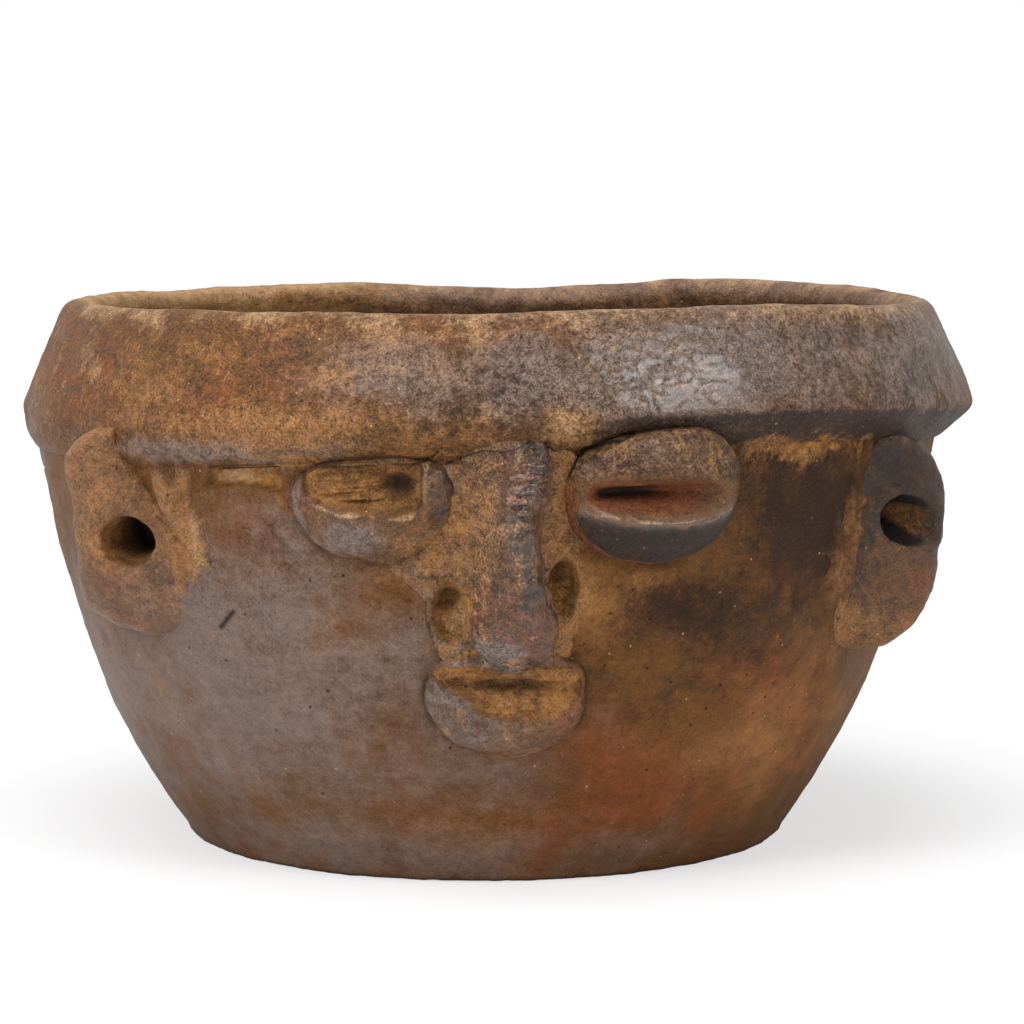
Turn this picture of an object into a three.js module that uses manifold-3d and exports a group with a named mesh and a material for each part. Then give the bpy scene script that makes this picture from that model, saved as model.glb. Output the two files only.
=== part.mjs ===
// A hand-built earthenware face pot: a flat-footed bowl with an overhanging rim collar and a face of
// applied clay, as the separate pieces a potter joins with slip.
// Millimetres, +Z up. The face looks along -Y, and the origin is the centre of the foot.
// An azimuth is measured from the front, -Y, towards +X. A drop is measured down from the shoulder.

import * as THREE from "three";
import { mergeVertices } from "three/addons/utils/BufferGeometryUtils.js";
import Module from "manifold-3d";

const wasm = await Module();
wasm.setup();

const { degToRad, smoothstep } = THREE.MathUtils;

// Slip between two joined pieces
const SLIP = 0.3;

// Bowl
const FOOT_RADIUS = 55.8;
const BASE_THICKNESS = 7;
const WALL_THICKNESS = 6.5;
const BELLY_RADIUS = 76.9;
const BELLY_HEIGHT = 29;
const SHOULDER_RADIUS = 84.2;
const SHOULDER_HEIGHT = 73;
const COURSE_HEIGHT = 37;
const FLOOR_FILLET = 6;

// Rim collar, from the shoulder
const COLLAR_OVERHANG = 4.9;
const COLLAR_UNDERCUT = 7;
const COLLAR_HEIGHT = 27.5;
const COLLAR_CROWN = 1.4;
const LIP_INSET = 4.7;
const LIP_THICKNESS = 6.4;
const LIP_ROLL = degToRad(25);

// Unevenness of the hand building
const COLLAR_SHIFT = 2.1;
const BROW_RISE = 5;
const BROW_AZIMUTH = degToRad(25);
const FRONT_PINCH_AZIMUTH = degToRad(29);
const FRONT_PINCH_WIDTH = degToRad(24);
const FRONT_PINCH_RISE = 1.45;
const BACK_PINCH_AZIMUTH = degToRad(140);
const BACK_PINCH_WIDTH = degToRad(30);
const BACK_PINCH_RISE = 1.6;
const BACK_DENT_AZIMUTH = degToRad(176);
const BACK_DENT_WIDTH = degToRad(15);
const BACK_DENT_DROP = 1.45;

// Ears, each turned forwards
const EAR_LENGTH = 35;
const EAR_WIDTH = 18;
const EAR_TOP_WIDTH = 15;
const EAR_DEPTH = 24;
const EAR_RELIEF = 5.5;
const EAR_ROUNDING = 4;
const EAR_HOLE_DIAMETER = 9;
const LEFT_EAR_AZIMUTH = degToRad(-47.5);
const LEFT_EAR_TWIST = degToRad(25.5);
const LEFT_EAR_DROP = 11.5;
const LEFT_EAR_HOLE_RISE = 0.5;
const RIGHT_EAR_AZIMUTH = degToRad(59.6);
const RIGHT_EAR_TWIST = degToRad(42);
const RIGHT_EAR_DROP = 14.5;
const RIGHT_EAR_HOLE_RISE = 4;
const WELD_LENGTH = 25;
const WELD_WIDTH = 11;
const WELD_RELIEF = 2.2;

// Left eye, scooped out along its top
const LEFT_EYE_AZIMUTH = degToRad(-12.2);
const LEFT_EYE_DROP = 5.6;
const LEFT_EYE_WIDTH = 28.5;
const LEFT_EYE_LENGTH = 19.5;
const LEFT_EYE_RELIEF = 6;
const LEFT_SLOT_WIDTH = 20.5;
const LEFT_SLOT_LENGTH = 8.5;
const LEFT_SLOT_DEPTH = 4;
const LEFT_SLOT_RISE = 3.8;

// Right eye, pressed in along its middle
const RIGHT_EYE_AZIMUTH = degToRad(19.9);
const RIGHT_EYE_DROP = 1.8;
const RIGHT_EYE_WIDTH = 33.5;
const RIGHT_EYE_LENGTH = 23.5;
const RIGHT_EYE_RELIEF = 8.5;
const RIGHT_SLIT_WIDTH = 27;
const RIGHT_SLIT_LENGTH = 6.5;
const RIGHT_SLIT_DEPTH = 4;
const RIGHT_SLIT_RISE = 0.8;

// Groove in the wall at the outer corner of the left eye
const GROOVE_AZIMUTH = degToRad(-27.5);
const GROOVE_DROP = 1.5;
const GROOVE_WIDTH = 14;
const GROOVE_LENGTH = 4.5;
const GROOVE_DEPTH = 1.5;

// Nose, on its pad
const FACE_AZIMUTH = degToRad(3.2);
const NOSE_LENGTH = 37;
const NOSE_DROP = 12.1;
const NOSE_TOP_WIDTH = 15.5;
const NOSE_WAIST = 13;
const NOSE_TIP_WIDTH = 16.5;
const NOSE_RELIEF = 8;
const PAD_THICKNESS = 1.2;
const PAD_WIDTH = 29;
const PAD_LENGTH = 37;
const PAD_CORNER = 6;
const NOSTRIL_WIDTH = 5.2;
const NOSTRIL_LENGTH = 9.2;
const NOSTRIL_DEPTH = 4.2;
const NOSTRIL_SPREAD = 9.6;
const NOSTRIL_DROP = 7;

// Mouth, scooped out along its top
const MOUTH_DROP = 38.2;
const MOUTH_WIDTH = 28;
const MOUTH_LENGTH = 21.5;
const MOUTH_RELIEF = 6.5;
const MOUTH_SLOT_WIDTH = 23;
const MOUTH_SLOT_LENGTH = 8;
const MOUTH_SLOT_DEPTH = 4;
const MOUTH_SLOT_RISE = 3;

// Facets
const ROUND_STEPS = 48;
const CURVE_STEPS = 5;
const PELLET_STEPS = 24;
const ROUNDING_STEPS = 2;
const MERGE_DISTANCE = 1e-4;

// Fired clays
const FOOT_CLAY = { color: 0x624531, roughness: 0.6 };
const BELLY_CLAY = { color: 0x6e4d3a, roughness: 0.5 };
const SHOULDER_CLAY = { color: 0x6a4f3e, roughness: 0.5 };
const COLLAR_CLAY = { color: 0x846450, roughness: 0.45 };
const RED_CLAY = { color: 0x7b5b46, roughness: 0.5 };
const GREY_CLAY = { color: 0x7c614e, roughness: 0.45 };
const SMOKED_CLAY = { color: 0x5a463b, roughness: 0.4 };
const TAN_SMEAR = { color: 0x916d4d, roughness: 0.8 };
const OCHRE_SMEAR = { color: 0x7d5c3f, roughness: 0.8 };

// Profiles, as points of radius and height

// The point of the wall's outside at a height, and the wall's outward direction there.
function wallAt(height) {
  const rise = SHOULDER_HEIGHT - 2 * BELLY_HEIGHT;
  const t = height / (BELLY_HEIGHT + Math.sqrt(BELLY_HEIGHT ** 2 + rise * height));
  const foot = new THREE.Vector2(FOOT_RADIUS, 0);
  const belly = new THREE.Vector2(BELLY_RADIUS, BELLY_HEIGHT);
  const shoulder = new THREE.Vector2(SHOULDER_RADIUS, SHOULDER_HEIGHT);
  const along = belly.clone().sub(foot).lerp(shoulder.clone().sub(belly), t).normalize();
  const point = new THREE.QuadraticBezierCurve(foot, belly, shoulder).getPoint(t);
  return { point, outward: new THREE.Vector2(along.y, -along.x) };
}

// Points of the wall between two heights, moved outwards by a distance, or inwards where it is negative.
function wallCurve(from, to, outwards) {
  return Array.from({ length: CURVE_STEPS + 1 }, (_, i) => {
    const { point, outward } = wallAt(from + ((to - from) * i) / CURVE_STEPS);
    return point.addScaledVector(outward, outwards);
  });
}

// The collar's outside, from the shoulder round the overhang, up to the lip and over it.
function collarCurve() {
  const start = SHOULDER_HEIGHT + SLIP;
  const carinationRadius = SHOULDER_RADIUS + COLLAR_OVERHANG;
  const carination = SHOULDER_HEIGHT + COLLAR_UNDERCUT;
  const lipRadius = SHOULDER_RADIUS - LIP_INSET;
  const lipHeight = SHOULDER_HEIGHT + COLLAR_HEIGHT - LIP_THICKNESS / 2;
  const edgeRadius = lipRadius + (LIP_THICKNESS / 2) * Math.cos(LIP_ROLL);
  const edgeHeight = lipHeight + (LIP_THICKNESS / 2) * Math.sin(LIP_ROLL);
  const crownRadius = (carinationRadius + edgeRadius) / 2 + COLLAR_CROWN;
  const path = new THREE.Path();
  path.moveTo(SHOULDER_RADIUS, start);
  path.quadraticCurveTo((SHOULDER_RADIUS + carinationRadius) / 2, start, carinationRadius, carination);
  path.quadraticCurveTo(crownRadius, (carination + edgeHeight) / 2, edgeRadius, edgeHeight);
  path.absarc(lipRadius, lipHeight, LIP_THICKNESS / 2, LIP_ROLL, Math.PI, false);
  return path.getPoints(CURVE_STEPS);
}

// A curve's points moved to its right-hand side, which is the outside of a curve that climbs.
function movedOut(points, distance) {
  return points.map((point, i) => {
    const next = points[Math.min(i + 1, points.length - 1)];
    const last = points[Math.max(i - 1, 0)];
    const outward = new THREE.Vector2(next.y - last.y, last.x - next.x).normalize();
    return point.clone().addScaledVector(outward, distance);
  });
}

// A curve closed on the axis at both ends.
function filled(points) {
  const first = new THREE.Vector2(0, points[0].y);
  const last = new THREE.Vector2(0, points.at(-1).y);
  return [first, ...points, last];
}

// Solids

// A closed geometry as a solid that can be joined and cut.
function solidOf(geometry) {
  const bare = geometry.clone();
  bare.deleteAttribute("normal");
  bare.deleteAttribute("uv");
  const merged = mergeVertices(bare, MERGE_DISTANCE);
  const corners = merged.index.array;
  const whole = corners.filter((_, i) => {
    const [a, b, c] = corners.slice(i - (i % 3), i - (i % 3) + 3);
    return a !== b && b !== c && c !== a;
  });
  const triVerts = new Uint32Array(whole);
  const vertProperties = merged.attributes.position.array;
  return new wasm.Manifold(new wasm.Mesh({ numProp: 3, vertProperties, triVerts }));
}

// The largest of the bodies that a cut leaves, as a geometry.
function geometryOf(solid) {
  const body = solid.decompose().reduce((kept, other) => (other.volume() > kept.volume() ? other : kept));
  const { vertProperties, triVerts } = body.getMesh();
  const geometry = new THREE.BufferGeometry();
  geometry.setAttribute("position", new THREE.BufferAttribute(vertProperties, 3));
  geometry.setIndex(new THREE.BufferAttribute(triVerts, 1));
  geometry.computeVertexNormals();
  return geometry;
}

function cutBy(solid, cutters) {
  return cutters.reduce((left, cutter) => left.subtract(cutter), solid);
}

// A mesh with a material of its own, placed on its seat where it has one.
function pieceOf(name, solid, clay, seat = new THREE.Matrix4()) {
  const geometry = geometryOf(solid).applyMatrix4(seat.clone().invert());
  const mesh = new THREE.Mesh(geometry, new THREE.MeshStandardMaterial({ ...clay, metalness: 0 }));
  mesh.name = name;
  mesh.applyMatrix4(seat);
  return mesh;
}

// How far the potter pushed the shoulder up over the face.
function browRise(azimuth, height) {
  const nearness = Math.max(0, Math.cos(azimuth - BROW_AZIMUTH));
  return BROW_RISE * nearness ** 2 * smoothstep(height, COURSE_HEIGHT, SHOULDER_HEIGHT);
}

// A bell curve round the pot: 1 at its middle, falling off over its width.
function bell(azimuth, middle, width) {
  const away = THREE.MathUtils.euclideanModulo(azimuth - middle + Math.PI, 2 * Math.PI) - Math.PI;
  return Math.exp(-((away / width) ** 2));
}

// How far the lip is pinched up or dented.
function lipRise(azimuth) {
  const front = FRONT_PINCH_RISE * bell(azimuth, FRONT_PINCH_AZIMUTH, FRONT_PINCH_WIDTH);
  const back = BACK_PINCH_RISE * bell(azimuth, BACK_PINCH_AZIMUTH, BACK_PINCH_WIDTH);
  const dent = BACK_DENT_DROP * bell(azimuth, BACK_DENT_AZIMUTH, BACK_DENT_WIDTH);
  return front + back - dent;
}

// Moves a point as the potter's hands did: the collar sits to one side, the shoulder is pushed up over
// the face, and the lip waves.
function unevenly(point) {
  const azimuth = Math.atan2(point.x, -point.y);
  const towardsLip = smoothstep(point.z, SHOULDER_HEIGHT, SHOULDER_HEIGHT + COLLAR_HEIGHT);
  const wave = lipRise(azimuth);
  point.x += COLLAR_SHIFT * smoothstep(point.z, SHOULDER_HEIGHT, SHOULDER_HEIGHT + COLLAR_UNDERCUT);
  point.z += browRise(azimuth, point.z) * (1 - towardsLip) + wave * towardsLip;
}

// A profile turned about the pot's axis, with the pot's unevenness.
function turned(profile) {
  const geometry = new THREE.LatheGeometry(profile, ROUND_STEPS).rotateX(Math.PI / 2);
  const { position } = geometry.attributes;
  const point = new THREE.Vector3();
  for (let i = 0; i < position.count; i++) {
    point.fromBufferAttribute(position, i);
    unevenly(point);
    position.setXYZ(i, ...point);
  }
  return solidOf(geometry);
}

// Where a piece sits on the wall: X runs across, -Y points out of the wall, and Z runs up it.
function seatOnWall(azimuth, drop, twist = 0) {
  const height = SHOULDER_HEIGHT - drop;
  const { point, outward } = wallAt(height - browRise(azimuth, height));
  const seat = new THREE.Object3D();
  seat.position.set(point.x * Math.sin(azimuth), -point.x * Math.cos(azimuth), height);
  seat.rotation.set(Math.atan2(-outward.y, outward.x), 0, azimuth, "ZYX");
  seat.rotateZ(twist);
  seat.updateMatrix();
  return seat.matrix;
}

// The azimuth of a place on the wall that is a distance across from another.
function azimuthBeside(azimuth, across, drop) {
  return azimuth + across / wallAt(SHOULDER_HEIGHT - drop).point.x;
}

// An ellipsoid pressed into its seat, with its width, its relief out of the wall and its length.
// It can be grown all round, and moved out and up.
function pellet(seat, width, relief, length, { grown = 0, out = 0, up = 0 } = {}) {
  const ball = new THREE.SphereGeometry(1, PELLET_STEPS, PELLET_STEPS / 2);
  ball.scale(width / 2 + grown, relief + grown, length / 2 + grown);
  ball.translate(0, -out, up);
  return solidOf(ball.applyMatrix4(seat));
}

// What is pressed against: the wall and the collar, each with a skin on its outside.

function wallWithSkin(skin) {
  const curve = wallCurve(0, SHOULDER_HEIGHT, skin);
  const top = new THREE.Vector2(curve.at(-1).x, SHOULDER_HEIGHT + 2 * SLIP);
  return turned(filled([...curve, top]));
}

const collarWithSlip = turned(filled(movedOut(collarCurve(), SLIP)));
const vesselWithSlip = wallWithSkin(SLIP).add(collarWithSlip);

// Eyes

const leftEyeSeat = seatOnWall(LEFT_EYE_AZIMUTH, LEFT_EYE_DROP);
const rightEyeSeat = seatOnWall(RIGHT_EYE_AZIMUTH, RIGHT_EYE_DROP);

function leftEyePellet(grown) {
  return pellet(leftEyeSeat, LEFT_EYE_WIDTH, LEFT_EYE_RELIEF, LEFT_EYE_LENGTH, { grown });
}

function rightEyePellet(grown) {
  return pellet(rightEyeSeat, RIGHT_EYE_WIDTH, RIGHT_EYE_RELIEF, RIGHT_EYE_LENGTH, { grown });
}

function leftEye() {
  const place = { out: LEFT_EYE_RELIEF, up: LEFT_SLOT_RISE };
  const slot = pellet(leftEyeSeat, LEFT_SLOT_WIDTH, LEFT_SLOT_DEPTH, LEFT_SLOT_LENGTH, place);
  const eye = cutBy(leftEyePellet(0), [slot, vesselWithSlip]);
  return pieceOf("left_eye", eye, GREY_CLAY, leftEyeSeat);
}

function rightEye() {
  const place = { out: RIGHT_EYE_RELIEF, up: RIGHT_SLIT_RISE };
  const slit = pellet(rightEyeSeat, RIGHT_SLIT_WIDTH, RIGHT_SLIT_DEPTH, RIGHT_SLIT_LENGTH, place);
  const eye = cutBy(rightEyePellet(0), [slit, vesselWithSlip]);
  return pieceOf("right_eye", eye, SMOKED_CLAY, rightEyeSeat);
}

function eyeGroove() {
  const seat = seatOnWall(GROOVE_AZIMUTH, GROOVE_DROP);
  return pellet(seat, GROOVE_WIDTH, GROOVE_DEPTH, GROOVE_LENGTH);
}

// Nose and its pad

const noseSeat = seatOnWall(FACE_AZIMUTH, NOSE_DROP);

// A strip with a waist and a round tip, turned and then deepened to its relief.
function noseStrip(grown) {
  const half = NOSE_LENGTH / 2 + grown;
  const tip = NOSE_TIP_WIDTH / 2 + grown;
  const waist = NOSE_WAIST / 2 + grown;
  const top = NOSE_TOP_WIDTH / 2 + grown;
  const profile = new THREE.Path();
  profile.moveTo(0, -half);
  profile.quadraticCurveTo(tip, -half, tip, tip - half);
  profile.bezierCurveTo(tip, (tip - half) / 2, waist, (tip - half) / 2, waist, 0);
  profile.quadraticCurveTo(waist, half / 2, top, half);
  profile.lineTo(0, half);
  const strip = new THREE.LatheGeometry(profile.getPoints(CURVE_STEPS), PELLET_STEPS).rotateX(Math.PI / 2);
  strip.scale(1, (NOSE_RELIEF + PAD_THICKNESS + grown) / tip, 1);
  return solidOf(strip.applyMatrix4(noseSeat));
}

function nose() {
  const padWithSlip = wallWithSkin(PAD_THICKNESS + 2 * SLIP);
  const strip = cutBy(noseStrip(0), [padWithSlip, collarWithSlip, leftEyePellet(SLIP), rightEyePellet(SLIP)]);
  return pieceOf("nose", strip, GREY_CLAY, noseSeat);
}

// The nostril pits, pressed through the pad into the wall on both sides of the nose.
function nostrils() {
  const drop = NOSE_DROP + NOSTRIL_DROP;
  return [-1, 1].map((side) => {
    const seat = seatOnWall(azimuthBeside(FACE_AZIMUTH, side * NOSTRIL_SPREAD, drop), drop);
    return pellet(seat, NOSTRIL_WIDTH, NOSTRIL_DEPTH, NOSTRIL_LENGTH);
  });
}

function padOutline() {
  const half = PAD_WIDTH / 2;
  const top = PAD_LENGTH / 2;
  const shape = new THREE.Shape();
  shape.moveTo(-half, PAD_CORNER - top);
  shape.quadraticCurveTo(-half, -top, PAD_CORNER - half, -top);
  shape.lineTo(half - PAD_CORNER, -top);
  shape.quadraticCurveTo(half, -top, half, PAD_CORNER - top);
  shape.lineTo(half, top);
  shape.lineTo(-half, top);
  shape.closePath();
  return shape;
}

function nosePad() {
  const depth = SHOULDER_RADIUS;
  const options = { depth, curveSegments: CURVE_STEPS, bevelEnabled: false };
  const block = new THREE.ExtrudeGeometry(padOutline(), options);
  block.rotateX(Math.PI / 2).translate(0, depth / 2, 0).applyMatrix4(noseSeat);
  const layer = wallWithSkin(SLIP + PAD_THICKNESS).intersect(solidOf(block));
  const neighbours = [vesselWithSlip, leftEyePellet(SLIP), rightEyePellet(SLIP), mouthPellet(SLIP)];
  const pad = cutBy(layer, [...neighbours, ...nostrils()]);
  return pieceOf("nose_pad", pad, OCHRE_SMEAR, noseSeat);
}

// Mouth

const mouthSeat = seatOnWall(FACE_AZIMUTH, MOUTH_DROP);

function mouthPellet(grown) {
  return pellet(mouthSeat, MOUTH_WIDTH, MOUTH_RELIEF, MOUTH_LENGTH, { grown });
}

function mouth() {
  const place = { out: MOUTH_RELIEF, up: MOUTH_SLOT_RISE };
  const slot = pellet(mouthSeat, MOUTH_SLOT_WIDTH, MOUTH_SLOT_DEPTH, MOUTH_SLOT_LENGTH, place);
  const lips = cutBy(mouthPellet(0), [slot, vesselWithSlip, noseStrip(SLIP)]);
  return pieceOf("mouth", lips, GREY_CLAY, mouthSeat);
}

// Ears

const leftEar = {
  name: "left_ear",
  side: -1,
  azimuth: LEFT_EAR_AZIMUTH,
  drop: LEFT_EAR_DROP,
  holeRise: LEFT_EAR_HOLE_RISE,
  seat: seatOnWall(LEFT_EAR_AZIMUTH, LEFT_EAR_DROP, LEFT_EAR_TWIST),
};
const rightEar = {
  name: "right_ear",
  side: 1,
  azimuth: RIGHT_EAR_AZIMUTH,
  drop: RIGHT_EAR_DROP,
  holeRise: RIGHT_EAR_HOLE_RISE,
  seat: seatOnWall(RIGHT_EAR_AZIMUTH, RIGHT_EAR_DROP, -RIGHT_EAR_TWIST),
};

// A lug that tapers upwards, with rounded edges, standing out of the wall.
function earLug({ seat }, grown) {
  const radius = EAR_WIDTH / 2 + grown;
  const topRadius = EAR_TOP_WIDTH / 2 + grown;
  const half = EAR_LENGTH / 2 + grown;
  const outline = new THREE.Shape();
  outline.absarc(0, half - topRadius, topRadius, 0, Math.PI, false);
  outline.absarc(0, radius - half, radius, Math.PI, 2 * Math.PI, false);
  outline.closePath();
  const depth = EAR_DEPTH - 2 * EAR_ROUNDING;
  const lug = new THREE.ExtrudeGeometry(outline, {
    depth,
    curveSegments: PELLET_STEPS / 2,
    bevelThickness: EAR_ROUNDING,
    bevelSize: EAR_ROUNDING,
    bevelOffset: -EAR_ROUNDING,
    bevelSegments: ROUNDING_STEPS,
  });
  lug.rotateX(Math.PI / 2).translate(0, depth + EAR_ROUNDING - EAR_RELIEF - grown, 0);
  return solidOf(lug.applyMatrix4(seat));
}

function ear(place, clay) {
  const radius = EAR_HOLE_DIAMETER / 2;
  const bore = new THREE.CylinderGeometry(radius, radius, 2 * EAR_DEPTH, PELLET_STEPS);
  bore.translate(0, 0, place.holeRise).applyMatrix4(place.seat);
  const lug = cutBy(earLug(place, 0), [solidOf(bore), vesselWithSlip]);
  return pieceOf(place.name, lug, clay, place.seat);
}

// Clay smeared over the seam between an ear and the cheek.
function earWeld(place, clay) {
  const across = (-place.side * EAR_WIDTH) / 2;
  const seat = seatOnWall(azimuthBeside(place.azimuth, across, place.drop), place.drop);
  const smear = pellet(seat, WELD_WIDTH, WELD_RELIEF, WELD_LENGTH);
  const weld = cutBy(smear, [vesselWithSlip, earLug(place, SLIP)]);
  return pieceOf(place.name + "_weld", weld, clay, seat);
}

// Vessel

function baseSlab() {
  const slab = turned(filled(wallCurve(0, BASE_THICKNESS, 0)));
  return pieceOf("base_slab", slab, FOOT_CLAY);
}

function lowerWall() {
  const bottom = BASE_THICKNESS + SLIP;
  const top = COURSE_HEIGHT - SLIP / 2;
  const outside = wallCurve(bottom, top, 0);
  const inside = wallCurve(bottom + FLOOR_FILLET, top, -WALL_THICKNESS).reverse();
  const floorEdge = new THREE.Vector2(inside.at(-1).x - FLOOR_FILLET, bottom);
  const ring = turned([...outside, ...inside, floorEdge, outside[0]]);
  return pieceOf("lower_wall", ring, BELLY_CLAY);
}

function upperWall() {
  const bottom = COURSE_HEIGHT + SLIP / 2;
  const outside = wallCurve(bottom, SHOULDER_HEIGHT, 0);
  const inside = wallCurve(bottom, SHOULDER_HEIGHT, -WALL_THICKNESS).reverse();
  const ring = turned([...outside, ...inside, outside[0]]);
  return pieceOf("upper_wall", cutBy(ring, [...nostrils(), eyeGroove()]), SHOULDER_CLAY);
}

function rimCollar() {
  const outside = collarCurve();
  const { point, outward } = wallAt(SHOULDER_HEIGHT);
  const insideFoot = point.addScaledVector(outward, -WALL_THICKNESS);
  insideFoot.y += SLIP;
  const collar = turned([...outside, insideFoot, outside[0]]);
  return pieceOf("rim_collar", collar, COLLAR_CLAY);
}

// Assembly

const vessel = new THREE.Group();
vessel.add(baseSlab(), lowerWall(), upperWall(), rimCollar());

const ears = new THREE.Group();
ears.add(ear(leftEar, RED_CLAY), earWeld(leftEar, TAN_SMEAR));
ears.add(ear(rightEar, SMOKED_CLAY), earWeld(rightEar, OCHRE_SMEAR));

const face = new THREE.Group();
face.add(leftEye(), rightEye(), nosePad(), nose(), mouth());

const facePot = new THREE.Group();
facePot.add(vessel, ears, face);

export default facePot;
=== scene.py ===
"""Looks of a hand-built, burnished face pot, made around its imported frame.

Shapes are worked out in millimetres, in the frame's own axes: Z up, the face looks along -Y.
An azimuth is measured at the axis, from -Y towards +X.
"""
from collections import namedtuple
from itertools import product
from math import pi, radians

import bpy
import numpy as np
from bpy.props import FloatProperty, FloatVectorProperty, PointerProperty
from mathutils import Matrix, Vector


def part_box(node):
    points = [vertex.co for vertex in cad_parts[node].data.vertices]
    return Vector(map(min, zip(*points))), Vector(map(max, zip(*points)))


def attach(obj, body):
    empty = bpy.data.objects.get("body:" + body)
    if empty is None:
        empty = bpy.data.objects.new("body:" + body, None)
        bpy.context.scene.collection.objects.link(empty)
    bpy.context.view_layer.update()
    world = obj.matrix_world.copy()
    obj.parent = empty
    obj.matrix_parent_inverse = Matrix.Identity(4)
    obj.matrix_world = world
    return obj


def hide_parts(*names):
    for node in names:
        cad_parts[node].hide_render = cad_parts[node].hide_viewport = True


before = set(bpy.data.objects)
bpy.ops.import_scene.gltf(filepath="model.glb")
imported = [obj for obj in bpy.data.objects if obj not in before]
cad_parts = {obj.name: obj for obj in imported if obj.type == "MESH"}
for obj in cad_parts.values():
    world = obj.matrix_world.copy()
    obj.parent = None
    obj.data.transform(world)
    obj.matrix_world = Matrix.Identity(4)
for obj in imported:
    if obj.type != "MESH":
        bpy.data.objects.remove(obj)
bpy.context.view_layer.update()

bl_info = {
    "name": "Face pot",
    "version": (1, 0, 0),
    "blender": (4, 5, 0),
    "location": "View3D > Sidebar > Face pot",
    "description": "A hand-built earthenware bowl with an applied face, in separate clay pieces",
    "category": "Object",
}

MM = 0.001

# Seeds of the noise, one for each kind of unevenness
DENT_SEED = 11
SKIN_SEED = 23
EDGE_SEED = 37
CLOUD_SEED = 41
STREAK_SEED = 53

# How the noise stirs a cell's numbers and the seed: weights, then shifts and factors, and the bits it keeps
CELL_WEIGHTS = (374761393, 668265263, 2147483647)
SEED_WEIGHT = 1274126177
STIRRINGS = ((13, 1103515245), (16, 1274126177))
LAST_SHIFT = 15
WORD = 0xFFFFFFFF

# The sRGB curve: offset and power of its bright part, slope of its dark part and the border between them
SRGB_OFFSET = 0.055
SRGB_POWER = 2.4
SRGB_SLOPE = 12.92
SRGB_BORDER = 0.04045

# Names of the clay's masks, each a float on every vertex
# The crack mask holds real cracks and also painted shade in hollows, slits, pits and crevices
# The smoke mask holds fire clouds and, in a few places, painted shade
# The worn mask holds worn clay and also painted highlights and painted light
MASKS = ("smoke", "grey", "red", "tan", "ochre", "worn", "crack", "gloss", "crackle", "grain")


def corners(node):
    """Lowest and highest corner of a CAD node, in millimetres."""
    low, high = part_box(node)
    return np.array(low) / MM, np.array(high) / MM


def half_width(node):
    """Half the width of a CAD node, in millimetres."""
    low, high = corners(node)
    return (high - low)[0] / 2


def linear(code):
    """A colour written as six hex digits of sRGB, as linear numbers."""
    parts = np.array([int(code[at:at + 2], 16) for at in (0, 2, 4)]) / 255
    bright = ((parts + SRGB_OFFSET) / (1 + SRGB_OFFSET)) ** SRGB_POWER
    return tuple(np.where(parts > SRGB_BORDER, bright, parts / SRGB_SLOPE))


def length_property(name, description, millimetres):
    """A length that a user may change, given in millimetres and kept in metres."""
    return FloatProperty(name=name, description=description, default=millimetres * MM, min=0, unit="LENGTH")


def power_property(name, description, watts):
    """The power of a light, which a user may change."""
    return FloatProperty(name=name, description=description, default=watts, min=0, unit="POWER")


def colour_property(name, description, code):
    """A colour that a user may change."""
    return FloatVectorProperty(
        name=name, description=description, default=linear(code), size=3, min=0, max=1, subtype="COLOR"
    )


class BowlSizes(bpy.types.PropertyGroup):
    """Sizes of the bowl and its collar."""

    foot_radius: length_property("Foot radius", "Radius of the flat foot", 55.8)
    belly_radius: length_property("Belly radius", "Radius that the wall's curve is drawn towards", 76.9)
    belly_height: length_property("Belly height", "Height that the wall's curve is drawn towards", 29)
    shoulder_radius: length_property("Shoulder radius", "Radius of the wall's top", half_width("upper_wall"))
    shoulder_height: length_property("Shoulder height", "Height of the crease under the collar", 73)
    wall_thickness: length_property("Wall thickness", "Thickness of the wall", 6.5)
    base_thickness: length_property("Base thickness", "Thickness of the floor", corners("base_slab")[1][2])
    collar_radius: length_property("Collar radius", "Radius of the collar's edge", half_width("rim_collar"))
    collar_undercut: length_property("Collar undercut", "Height of the collar's edge above the crease", 7)
    collar_height: length_property("Collar height", "Height of the lip above the crease", 27.5)
    collar_shift: length_property("Collar shift", "How far the collar sits to the right", 2.1)
    lip_thickness: length_property("Lip thickness", "Thickness of the lip", 6.4)
    brow_rise: length_property("Brow rise", "How far the collar's edge rises over the face", 5)


class FaceSizes(bpy.types.PropertyGroup):
    """How far the pieces of the face stand out."""

    left_eye: length_property("Left eye", "How far the left eye stands out", 5.4)
    right_eye: length_property("Right eye", "How far the right eye stands out", 8)
    nose: length_property("Nose", "How far the nose stands out", 8)
    nose_bed: length_property("Nose bed", "Thickness of the clay under the nose", 1.3)
    mouth: length_property("Mouth", "How far the lips stand out", 5.6)
    ear: length_property("Ear", "How far the middle of an ear stands out", 4.5)
    ear_hole: length_property("Ear hole", "Width of the hole in an ear", 8.4)
    weld: length_property("Ear weld", "Thickness of the clay smeared beside an ear", 1.5)


class ClayColours(bpy.types.PropertyGroup):
    """Colours of the fired clay."""

    brown: colour_property("Brown", "The slip's own colour", "684420")
    red: colour_property("Red", "Clay that fired red", "78401f")
    tan: colour_property("Tan", "Clay that fired pale", "976a3d")
    ochre: colour_property("Ochre", "Earth left in the hollows", "9a6c3a")
    deep_ochre: colour_property("Deep ochre", "Earth at the bottom of the hollows", "5e3b18")
    # Smoke: fire clouds, also laid as painted shade in a few places and used for the dark flecks
    smoke: colour_property("Smoke", "Fire clouds", "251912")
    grey: colour_property("Grey", "Burnished slip with a grey bloom", "76665d")
    # Worn: pale worn clay, also laid as painted highlights and painted light
    worn: colour_property("Worn", "Worn edges", "b08d66")
    # Soot: the colour of cracks and pits, and of the painted shade in hollows and crevices
    soot_and_shade: colour_property("Soot", "Cracks and pits", "1a110b")


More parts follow.
